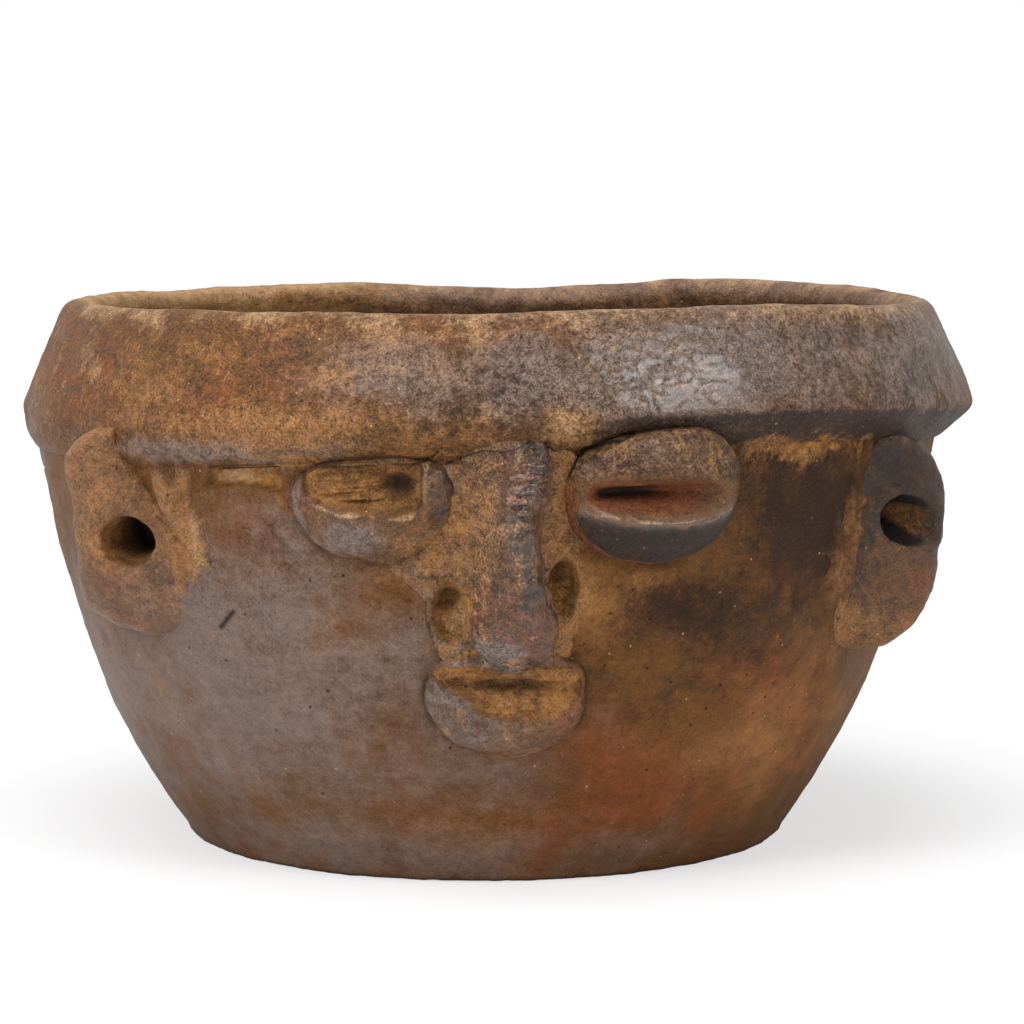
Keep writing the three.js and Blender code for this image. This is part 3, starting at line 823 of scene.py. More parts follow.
class Clay:
    """What fired clay is made from, in millimetres and shares."""

    # Where the second set of noises is read, and how the burnisher's strokes are drawn out along the pot
    ASIDE = (217, 83, 151)
    STRETCH = (0.35, 0.35, 2.2)
    # Noises: size, detail, roughness
    CLOUD = (15, 4, 0.5)
    OTHER = (13, 4, 0.52)
    PATCH = (4.4, 5, 0.58)
    FINE = (1.4, 4, 0.62)
    FLECKS = (0.62, 3, 0.7)
    GRIT = (0.36, 2, 0.6)
    STROKE = (3.4, 4, 0.6)

    # How noise breaks a mask's border: finely and in patches, plain and by grain, and how strongly each mask
    BREAK_FINE = 0.9
    BREAK_GRAIN = (0.15, 0.85)
    BREAK_PATCH = (0.45, 0.4)
    BREAK_SOFT = 0.9
    BREAK_BY_CLOUD = {"red": 1.0, "smoke": -1.0, "ochre": 0.6}
    BREAK_BY_OTHER = {"grey": 1.0, "tan": 0.8, "worn": 0.8}
    BORDER = (0.12, 0.85)
    BORDER_START = (0.0, 0.2)

    # Red in the brown slip, and how far each kind of cloud covers what lies below
    SLIP_RED = (0.46, 0.7)
    SLIP_RED_COVER = 0.3
    CLOUD_COVER = {"red": 0.85, "grey": 0.9, "smoke": 0.88, "tan": 0.8}

    # Temper grains and pits: size of their cells, colour channel that chooses them, reach in cells, choice
    GRAINS = (0.9, 0, (0.12, 0.3), (0.988, 0.992))
    PITS = (2.6, 1, (0.06, 0.14), (0.8, 0.84))
    # Flecks: the noise where they start and are full, and how many there are, plain and by grain
    PALE_FLECK = (0.61, 0.71)
    PALE_FLECK_GRAIN = (0.12, 0.88)
    # The dark flecks lie where the fine relief is low: dirt and painted shade in its pits
    DARK_FLECK = (0.39, 0.3)
    DARK_FLECK_GRAIN = (0.3, 0.7)
    # The network of fine cracks: scale and detail of its warp, size of its cells, width, patches that show it
    NET_WARP = {"Scale": 0.6, "Detail": 2.0}
    NET_SIZE = 1.9
    NET_WIDTH = (0.01, 0.08)
    NET_PATCHES = (0.38, 0.6)
    # How far these cover what lies below, and how much brighter than its colour each is
    PALE_FLECK_PAINT = (0.55, 1.15)
    DARK_FLECK_PAINT = (0.6, 1.4)
    NET_COVER = 0.75
    EARTH_COVER = 0.95
    WORN_COVER = 0.75
    GRAIN_PAINT = (0.8, 1.3)
    PIT_COVER = 0.75
    # Earth: share of patchy and fine noise in it, of the strokes, and the sum where it starts to be light
    EARTH_NOISE = 0.5
    EARTH_STROKE = 0.3
    EARTH_LIGHT = (0.12, 0.66)

    # How noise makes the clay brighter and darker
    BRIGHT_FINE = 1.4
    BRIGHT_GRIT = 2.3
    BRIGHT_GRAIN = (0.45, 0.55)
    BRIGHT_PATCH = 0.5
    BRIGHT_STROKE = 0.5
    BRIGHT_CLOUD = 0.3
    BRIGHT_LEAST = 0.35

    # Roughness of the dull clay, what earth and noise add to it, and how much gloss pale clay keeps
    ROUGH = 0.66
    ROUGH_EARTH = 0.15
    ROUGH_FINE = 0.35
    ROUGH_STROKE = 0.2
    ROUGH_LEAST = 0.22
    TAN_DULLS = 0.5
    COAT_ROUGH = 0.24

    # Height of the fine relief, as shares of its greatest depth
    RELIEF_PATCH = 0.5
    RELIEF_FINE = 0.8
    RELIEF_FLECKS = 0.6
    RELIEF_GRIT = 0.4
    RELIEF_GRAIN = (0.3, 0.7)
    RELIEF_STROKE = 0.25
    RELIEF_PITS = 0.5
    RELIEF_NET = 1.6
    RELIEF_TAN = 0.15
    RELIEF_DEPTH = 0.6 * MM


def fired_clay(name, colours, shine, detail, specular, coat):
    """Fired clay from the masks on the vertices.

    The brown slip turns red, grey, smoky (in places painted shade) or tan in clouds, whose borders soft noise
    draws out and, where the clay is grainy, fine noise breaks up. Over it lie flecks of temper, the dark ones
    also painted shade in the fine pits, earth in the hollows, worn edges and painted highlights, pits, and
    cracks and painted shade, and the finest noise makes all of it brighter and darker.
    """
    made = bpy.data.materials.new(name)
    made.use_nodes = True
    tree = made.node_tree
    tree.nodes.clear()
    start = Wire(tree)
    place = start.node("ShaderNodeTexCoord", {}, {}, "Object")
    place = start.vector("SCALE", {0: place, "Scale": 1 / MM})
    aside = start.vector("ADD", {0: place, 1: Clay.ASIDE})
    stretched = start.vector("MULTIPLY", {0: place, 1: Clay.STRETCH})
    cloud = place.noise(*Clay.CLOUD)
    other = aside.noise(*Clay.OTHER)
    patch = aside.noise(*Clay.PATCH)
    fine = place.noise(*Clay.FINE)
    flecks = aside.noise(*Clay.FLECKS)
    grit = place.noise(*Clay.GRIT)
    stroke = stretched.noise(*Clay.STROKE)
    masks = {key: start.node("ShaderNodeAttribute", {"attribute_name": key}, {}, "Fac") for key in MASKS}
    grainy = masks["grain"]
    broken = (fine.swing(Clay.BREAK_FINE) + flecks.swing(Clay.BREAK_FINE)) * grainy.lift(*Clay.BREAK_GRAIN)
    broken = broken + patch.swing(grainy.lift(*Clay.BREAK_PATCH))

    def clouded(key, soft, wild):
        """A mask with its border drawn out by soft noise and broken up by fine noise."""
        moved = masks[key] + soft.swing(Clay.BREAK_SOFT) + broken * wild
        return moved.ease(*Clay.BORDER) * masks[key].ease(*Clay.BORDER_START)

    spread = {key: clouded(key, cloud, wild) for key, wild in Clay.BREAK_BY_CLOUD.items()}
    spread.update({key: clouded(key, other, wild) for key, wild in Clay.BREAK_BY_OTHER.items()})
    tan, ochre = spread["tan"], spread["ochre"]
    reddish = cloud.ease(*Clay.SLIP_RED) * Clay.SLIP_RED_COVER
    colour = reddish.mix(solid(colours.brown), solid(colours.red))
    for key, cover in Clay.CLOUD_COVER.items():
        colour = (spread[key] * cover).mix(colour, solid(getattr(colours, key)))

    white_grain = place.specks(*Clay.GRAINS)
    pitted = place.specks(*Clay.PITS)
    pale_fleck = flecks.ease(*Clay.PALE_FLECK) * grainy.lift(*Clay.PALE_FLECK_GRAIN)
    # Dark flecks where the relief is low: dirt and painted shade in the fine pits
    dark_fleck = flecks.ease(*Clay.DARK_FLECK) * grainy.lift(*Clay.DARK_FLECK_GRAIN)
    warp = start.node("ShaderNodeTexNoise", {}, {"Vector": place, **Clay.NET_WARP}, "Color")
    warped = start.vector("ADD", {0: place, 1: warp})
    net = 1 - warped.cells(Clay.NET_SIZE, "Distance", "DISTANCE_TO_EDGE").ease(*Clay.NET_WIDTH)
    net = net * masks["crackle"] * patch.ease(*Clay.NET_PATCHES)
    light = patch * Clay.EARTH_NOISE + fine * Clay.EARTH_NOISE + stroke.swing(Clay.EARTH_STROKE)
    earth = light.ease(*Clay.EARTH_LIGHT).mix(solid(colours.deep_ochre), solid(colours.ochre))
    pale_cover, pale_bright = Clay.PALE_FLECK_PAINT
    dark_cover, dark_bright = Clay.DARK_FLECK_PAINT
    grain_cover, grain_bright = Clay.GRAIN_PAINT
    layers = (
        (pale_fleck * pale_cover, solid(colours.tan, pale_bright)),
        (dark_fleck * dark_cover, solid(colours.smoke, dark_bright)),
        (net * Clay.NET_COVER, solid(colours.tan)),
        (ochre * Clay.EARTH_COVER, earth),
        # Worn clay, and the painted highlights and painted light laid with it
        (spread["worn"] * Clay.WORN_COVER, solid(colours.worn)),
        (white_grain * grain_cover, solid(colours.worn, grain_bright)),
        (pitted * Clay.PIT_COVER, solid(colours.soot_and_shade)),
        # The crack mask paints soot: cracks, and painted shade in hollows, slits, pits and crevices
        (masks["crack"].ease(*Clay.BORDER), solid(colours.soot_and_shade)),
    )
    for share, paint in layers:
        colour = share.mix(colour, paint)
    bright = fine.swing(Clay.BRIGHT_FINE) + grit.swing(Clay.BRIGHT_GRIT)
    bright = bright * grainy.lift(*Clay.BRIGHT_GRAIN) * detail
    bright = 1 + bright + patch.swing(Clay.BRIGHT_PATCH) * detail
    bright = bright + stroke.swing(Clay.BRIGHT_STROKE) + cloud.swing(Clay.BRIGHT_CLOUD)
    colour = start.vector("SCALE", {0: colour, "Scale": bright.at_least(Clay.BRIGHT_LEAST)})

    gloss = masks["gloss"] * (1 - ochre) * (1 - Clay.TAN_DULLS * tan)
    roughness = Clay.ROUGH - shine * gloss + Clay.ROUGH_EARTH * ochre
    roughness = roughness + fine.swing(Clay.ROUGH_FINE) + stroke.swing(Clay.ROUGH_STROKE)
    relief = fine * Clay.RELIEF_FINE + flecks * Clay.RELIEF_FLECKS + grit * Clay.RELIEF_GRIT
    relief = relief * grainy.lift(*Clay.RELIEF_GRAIN) * detail
    relief = patch * Clay.RELIEF_PATCH + relief + stroke * Clay.RELIEF_STROKE
    relief = relief - pitted * Clay.RELIEF_PITS - net * Clay.RELIEF_NET - tan * grainy * Clay.RELIEF_TAN
    sockets = {"Height": relief, "Strength": 1.0, "Distance": Clay.RELIEF_DEPTH}
    bump = start.node("ShaderNodeBump", {}, sockets, "Normal")
    sockets = {
        "Base Color": colour, "Roughness": roughness.at_least(Clay.ROUGH_LEAST), "Normal": bump,
        "Specular IOR Level": specular, "Coat Weight": gloss * gloss * coat,
        "Coat Roughness": Clay.COAT_ROUGH,
    }
    shader = start.node("ShaderNodeBsdfPrincipled", {}, sockets)
    start.node("ShaderNodeOutputMaterial", {}, {"Surface": shader})
    return made


# Finishes: how much smoother gloss makes it, strength of its fine detail, reflection, lustre where glossy
FINISHES = {
    "wall": (0.3, 1.0, 0.13, 0.0), "collar": (0.42, 1.35, 0.28, 0.95), "applied": (0.42, 1.8, 0.4, 0.9),
    "smeared": (0.15, 1.5, 0.2, 0.0), "nose": (0.5, 2.5, 0.7, 0.8),
}


def clay_material(context, finish):
    """The clay of a finish, made once and shared by its pieces."""
    found = bpy.data.materials.get(f"{finish}_finish")
    return found or fired_clay(f"{finish}_finish", context.scene.clay_colours, *FINISHES[finish])


def grid_faces(rows, columns, ring):
    """Quads and triangles of a grid whose columns close on themselves, and which of its points are kept.

    The first and last row are single points with a fan of triangles, or with ring the rows close too.
    """
    keep = np.ones((rows, columns), bool)
    if ring:
        index = np.arange(rows * columns).reshape(rows, columns)
        index = np.concatenate([index, index[:1]])
    else:
        keep[[0, -1], 1:] = False
        index = np.arange(columns * (rows - 2)).reshape(rows - 2, columns) + 1
    beside = np.roll(index, -1, axis=1)
    quads = np.stack([index[:-1], beside[:-1], beside[1:], index[1:]], axis=-1).reshape(-1, 4)
    fans = np.zeros((0, 3), int)
    if not ring:
        last = columns * (rows - 2) + 1
        first_fan = np.stack([np.zeros(columns, int), beside[0], index[0]], axis=-1)
        last_fan = np.stack([np.full(columns, last), index[-1], beside[-1]], axis=-1)
        fans = np.concatenate([first_fan, last_fan])
    return quads, fans, keep


def put(context, name, points, masks, finish, nodes, ring=False):
    """Puts a grid of points into a mesh that faces outwards, with its masks, as a piece of the pot."""
    quads, fans, keep = grid_faces(*points.shape[:2], ring)
    spots = points[keep]
    triangles = np.concatenate([quads[:, :3], quads[:, [0, 2, 3]], fans])
    a, b, c = (spots[triangles[:, at]] for at in range(3))
    if np.einsum("ij,ij->i", a, np.cross(b, c)).sum() < 0:
        quads, fans = quads[:, ::-1], fans[:, ::-1]
    mesh = bpy.data.meshes.new(name)
    mesh.vertices.add(len(spots))
    mesh.vertices.foreach_set("co", (spots * MM).astype(np.float32).ravel())
    loops = np.concatenate([quads.ravel(), fans.ravel()]).astype(np.int32)
    sides = np.repeat((quads.shape[1], fans.shape[1]), (len(quads), len(fans)))
    starts = (np.cumsum(sides) - sides).astype(np.int32)
    mesh.loops.add(len(loops))
    mesh.loops.foreach_set("vertex_index", loops)
    mesh.polygons.add(len(starts))
    mesh.polygons.foreach_set("loop_start", starts)
    mesh.polygons.foreach_set("use_smooth", np.ones(len(starts), bool))
    mesh.update(calc_edges=True)
    if mesh.validate():
        raise RuntimeError(f"{name}: the mesh has faults")
    for key in MASKS:
        layer = mesh.attributes.new(key, "FLOAT", "POINT")
        layer.data.foreach_set("value", share_of(masks[key] + np.zeros(keep.shape))[keep].astype(np.float32))
    mesh.materials.append(clay_material(context, finish))
    piece = bpy.data.objects.new(name, mesh)
    context.scene.collection.objects.link(piece)
    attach(piece, "root")
    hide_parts(*nodes)


# Where the applied pieces sit: azimuth in degrees, height in millimetres
LEFT_EYE_SEAT = (-12.2, 70.9)
RIGHT_EYE_SEAT = (20.5, 71.4)
NOSE_SEAT = (3.2, 61.2)
BED_SEAT = (2.9, 59)
MOUTH_SEAT = (3.2, 35.5)
LEFT_EAR_SEAT = (-48, 62.3)
RIGHT_EAR_SEAT = (57.5, 59.2)
LEFT_WELD_SEAT = (-39.2, 63)
RIGHT_WELD_SEAT = (51.5, 58)
GROOVE_SEAT = (-28.4, 72.6)

# Holes in the ears: across and up from the ear's seat, and how far the left one leans by depth
LEFT_HOLE = (2.4, -2.1)
RIGHT_HOLE = (0.8, 3.4)
HOLE_LEAN = 0.4

# Outlines of the applied pieces: reach to the left, right, top and bottom, squareness, tilt
LEFT_EYE_OUTLINE = oval(15.2, 13.6, 6.4, 11.0, 2.2)
RIGHT_EYE_OUTLINE = oval(16.2, 15.3, 11, 10.7, 2.1, radians(3))
LEFT_EAR_OUTLINE = oval(10.4, 9.2, 19, 18.2, 3.8)
RIGHT_EAR_OUTLINE = oval(8.2, 9.8, 18.2, 17.8, 2.6)
SMEAR_OUTLINE = oval(6.5, 6.5, 15, 12, 2.1)
NOSE_OUTLINE = oval(1, 1, 1, 1, 2.9)
BED_OUTLINE = oval(14.4, 14.4, 18, 18, 3.6)
MOUTH_OUTLINE = oval(13.9, 13.7, 9.8, 11.2, 2.3)

# Nostrils: across, up, half width, half height; and the shares of these where one starts and is deep
NOSTRILS = ((-9.5, -7.6, 3.2, 5.2), (9.7, -4.1, 2.9, 5.0))
NOSTRIL_EDGE = (1.1, 0.55)

# The groove beside the left eye, from its seat: its upper and lower edge, their softness, its right end
GROOVE_ABOVE = ((-8.8, -6.2, 7), (-1.4, 2.2, 2.2))
GROOVE_BELOW = ((-8.8, -0.6, 5, 7), (-1.7, -0.9, -2, -2.6))
GROOVE_SOFT_ABOVE = (-0.2, 0.5)
GROOVE_SOFT_BELOW = (-0.3, 0.9)
GROOVE_END = (7.4, 6)

# The thin strip of earth that runs on from the groove down the eye's border
GROOVE_TAIL = ((5.9, -2.2), (7.8, -4.6), (10.5, -7))


def nostril(across, up, spread=1.0):
    """How far into a nostril a point lies, from 0 outside to 1 in the middle."""
    deepest = 0
    for middle, level, wide, tall in NOSTRILS:
        away = np.hypot((across - middle) / (wide * spread), (up - level) / (tall * spread))
        deepest = np.maximum(deepest, ease(away, *NOSTRIL_EDGE))
    return deepest


def groove(across, up):
    """The wedge-shaped groove beside the left eye, flat above and narrowing to the left."""
    above = np.interp(across, *GROOVE_ABOVE)
    below = np.interp(across, *GROOVE_BELOW)
    inside = ease(up - below, *GROOVE_SOFT_BELOW) * ease(above - up, *GROOVE_SOFT_ABOVE)
    return inside * ease(across, *GROOVE_END)


def beyond(outline, across, up):
    """How far outside an outline a point lies; inside it is negative."""
    return np.hypot(across, up) - outline(np.arctan2(up, across))


class FACE_POT_OT_wall(bpy.types.Operator):
    """Makes the foot, wall and floor of the bowl as one smoothed surface"""

    bl_idname = "face_pot.wall"
    bl_label = "Bowl wall"

    # The grid, and how much closer its columns lie at the face and the ears
    COLUMNS = 520
    ROWS = 186
    CLOSER = (5.0, 2.0)

    # The section: foot, floor's fillet, rise of the top inside the collar, and points on each stretch
    FOOT_EDGE = 1.6
    FOOT_HOLLOW = 0.5
    FOOT_RING = (2, 9)
    FLOOR_FILLET = 9
    FILLET_PULL = 2.4
    FILLET_MORE = 3
    TOP = 3.0
    WALL_STEPS = 400
    EDGE_STEPS = 12
    FILLET_STEPS = 40
    FLAT_STEPS = 60
    # How close the rows lie: underside, inside, outside, and more on the upper outside
    UNDERSIDE_DENSITY = 0.2
    INSIDE_DENSITY = 0.75
    OUTSIDE_DENSITY = 1.9
    UPPER_DENSITY = (1.5, 24, 36)
    # How far behind the wall's curve the outside ends, and over how many rows at the top
    OUTSIDE_DEPTH = (1.4, 0.6)
    OUTSIDE_ROWS = 2

    # Depths in the outside: the groove, nostrils and their spread, ear holes, under the pellets, crevices
    GROOVE_DEPTH = 1.7
    NOSTRIL_DEPTH = 4.6
    NOSTRIL_SPREAD = 1.25
    HOLE = (5.3, 8, 6.5)
    HOLE_DEPTH = 6
    UNDER_PELLET = (3.2, -1.5, -3.5)
    CREVICE_DEPTH = 0.5
    CREVICE_WIDTH = 1.1
    # Unevenness: amount, stretch, size, seed
    UNEVEN = ((0.09, (1, 1, 1), 3.2, SKIN_SEED), (0.1, (0.4, 0.4, 1.8), 5, STREAK_SEED))

    # Size of the noise in the masks, and the strip of earth beside the groove: share, width, change of width
    WANDER_SIZE = 4
    TAIL_SHARE = 0.6
    TAIL_WIDTH = 0.6
    TAIL_CHANGE = 0.3
    # Earth that noise gathers in crevices and crease, and the crease's place below the shoulder and width
    CREVICE_EARTH = (0.5, -0.2, 0.6)
    CREASE_EARTH = (0.8, -0.1, 0.6)
    CREASE_BELOW = 0.6
    CREASE_WIDTH = 1.8
    CREASE_CHANGE = 0.8
    CREASE_FROM = (-62, -48)
    # Painted shade at the borders of the groove and in the crevices, and a painted shadow line above the
    # groove
    GROOVE_BORDER = 1.6
    CREVICE_SHADE = (0.5, 0.45, 0.95)
    CREVICE_GAPS = (-0.7, 0.2)
    GROOVE_LINE = (0.6, 2.5, 0.5)
    GROOVE_LINE_SPAN = (-0.5, 8, 6)
    # Pale and worn clay in the groove
    GROOVE_TAN = 0.8
    GROOVE_WORN = (0.8, 0.5, 1)
    GROOVE_WORN_GAPS = (-0.6, 0.3)
    # The inside's smoke, more towards the top, its pale clay and grain; and the dark line at the foot
    INSIDE_SMOKE = 0.55
    INSIDE_SMOKE_RISE = (0.35, 55, 75)
    INSIDE_TAN = 0.15
    INSIDE_GRAIN = 0.3
    FOOT_LINE = (0.7, 0, 0.9)

    def section(self, bowl):
        """The wall's section, radius and height: underside, foot edge, outside, inside, fillet and floor."""
        height = np.linspace(self.FOOT_EDGE, bowl.shoulder_height + self.TOP, self.WALL_STEPS)
        radius, out_radius, out_level = bowl.wall(height)
        outside = np.stack([radius, height], axis=-1)
        roll = np.linspace(-pi / 2, 0, self.EDGE_STEPS)[:-1]
        edge_radius = radius[0] - self.FOOT_EDGE * (1 - np.cos(roll))
        foot = np.stack([edge_radius, self.FOOT_EDGE + self.FOOT_EDGE * np.sin(roll)], axis=-1)
        flat = np.linspace(0, foot[0, 0], self.FLAT_STEPS)[:-1]
        near, far = self.FOOT_RING
        hollow = self.FOOT_HOLLOW * ease(flat, foot[0, 0] - near, foot[0, 0] - far)
        underside = np.stack([flat, hollow], axis=-1)
        inner = (radius - bowl.thickness * out_radius, height - bowl.thickness * out_level)
        inner = np.stack(inner, axis=-1)[::-1]
        inner = inner[inner[:, 1] > bowl.base + self.FLOOR_FILLET]
        corner = (inner[-1, 0] - self.FILLET_PULL, bowl.base)
        fillet_end = (inner[-1, 0] - self.FLOOR_FILLET - self.FILLET_MORE, bowl.base)
        fillet = bezier(inner[-1], corner, fillet_end, self.FILLET_STEPS)
        floor = np.linspace(fillet[-1], (0, bowl.base), self.FLAT_STEPS)[1:]
        line = np.concatenate([underside, foot, outside, inner, fillet[1:], floor])
        first = len(underside)
        last = first + len(foot) + len(outside)
        density = np.full(len(line), self.INSIDE_DENSITY)
        density[:first] = self.UNDERSIDE_DENSITY
        density[first:last] = self.OUTSIDE_DENSITY + step(line[first:last, 1], self.UPPER_DENSITY)
        return respaced(line, density, self.ROWS)

    def execute(self, context):
        bowl = Bowl(context.scene.bowl_sizes)
        line = self.section(bowl)
        azimuth = azimuths(self.COLUMNS, *self.CLOSER)[None, :]
        radius, level = line[:, :1], line[:, 1:]
        wall_radius, out_radius, out_level = bowl.wall(level)
        deep, shallow = self.OUTSIDE_DEPTH
        outside = ease(radius, wall_radius - deep, wall_radius - shallow)
        top = np.argmax(line[:, 0])
        outside = outside * ease(np.arange(len(line))[:, None], top + self.OUTSIDE_ROWS, top)
        out = self.skin(bowl, azimuth, level)
        radius = radius + out * out_radius * outside
        points = bowl.shaped(azimuth, radius, level + out * out_level * outside)
        masks = self.masks(bowl, points, azimuth, level, outside)
        nodes = ("base_slab", "lower_wall", "upper_wall")
        put(context, "pot_wall", points, masks, "wall", nodes)
        return {"FINISHED"}

    def skin(self, bowl, azimuth, level):
        """How far the outside is pressed in or stands out: grooves, crevices, pits and unevenness."""
        out = -self.GROOVE_DEPTH * groove(*Seat(bowl, *GROOVE_SEAT).local(azimuth, level))
        pits = nostril(*Seat(bowl, *BED_SEAT).local(azimuth, level), self.NOSTRIL_SPREAD)
        out = out - self.NOSTRIL_DEPTH * pits
        for place, hole, lean in ((LEFT_EAR_SEAT, LEFT_HOLE, HOLE_LEAN), (RIGHT_EAR_SEAT, RIGHT_HOLE, 0)):
            across, up = Seat(bowl, *place).local(azimuth, level)
            across = across + lean * self.HOLE_DEPTH
            out = out - step(np.hypot(across - hole[0], up - hole[1]), self.HOLE)
        for place, outline in ((LEFT_EYE_SEAT, LEFT_EYE_OUTLINE), (MOUTH_SEAT, MOUTH_OUTLINE)):
            away = beyond(outline, *Seat(bowl, *place).local(azimuth, level))
            out = out - step(away, self.UNDER_PELLET)
        out = out - self.CREVICE_DEPTH * self.crevices(bowl, azimuth, level)
        return out + uneven(bowl.drum(azimuth, level), self.UNEVEN)

    def crevices(self, bowl, azimuth, level):
        """The narrow crevices round the pellets, from 0 to 1."""
        deepest = 0
        pellets = (
            (LEFT_EYE_SEAT, LEFT_EYE_OUTLINE),
            (RIGHT_EYE_SEAT, RIGHT_EYE_OUTLINE),
            (MOUTH_SEAT, MOUTH_OUTLINE),
        )
        for place, outline in pellets:
            away = beyond(outline, *Seat(bowl, *place).local(azimuth, level))
            deepest = np.maximum(deepest, bell(away, self.CREVICE_WIDTH))
        return deepest

    def masks(self, bowl, points, azimuth, level, outside):
        """The wall's masks: earth, painted shade at the borders and worn clay at groove and crevices, and a
        sooty inside.
        """
        masks = firing(points)
        wander = layered(points, self.WANDER_SIZE, EDGE_SEED)
        crevice = self.crevices(bowl, azimuth, level)
        across, up = Seat(bowl, *GROOVE_SEAT).local(azimuth, level)
        tail_width = self.TAIL_WIDTH + self.TAIL_CHANGE * wander
        tail = self.TAIL_SHARE * near_line(across, up, GROOVE_TAIL, tail_width)
        grooved = np.maximum(groove(across, up), tail)
        below = level - bowl.shoulder_height + self.CREASE_BELOW
        crease_width = self.CREASE_WIDTH + self.CREASE_CHANGE * wander
        crease = bell(below, crease_width) * step(wander, self.CREASE_EARTH)
        crease = crease * ease(points[..., 0], *self.CREASE_FROM)
        over(masks, "ochre", crevice * step(wander, self.CREVICE_EARTH), grooved, crease)
        # Painted shade at the groove's border and in the crevices, and a painted shadow line above the groove
        edge = self.GROOVE_BORDER * grooved * (1 - grooved)
        edge = edge + step(crevice, self.CREVICE_SHADE) * ease(wander, *self.CREVICE_GAPS)
        over(masks, "crack", edge, hump(up, self.GROOVE_LINE) * within(across, self.GROOVE_LINE_SPAN))
        over(masks, "tan", self.GROOVE_TAN * grooved)
        over(masks, "worn", step(grooved, self.GROOVE_WORN) * ease(wander, *self.GROOVE_WORN_GAPS))
        faded(masks, ("grey",), 1 - grooved)
        faded(masks, ("smoke", "red", "grey", "tan", "ochre", "worn", "crack", "gloss", "grain"), outside)
        inside = 1 - outside
        masks["smoke"] = masks["smoke"] + inside * (self.INSIDE_SMOKE + step(level, self.INSIDE_SMOKE_RISE))
        masks["tan"] = masks["tan"] + self.INSIDE_TAN * inside
        masks["grain"] = masks["grain"] + self.INSIDE_GRAIN * inside
        over(masks, "crack", outside * hump(level, self.FOOT_LINE))
        return masks


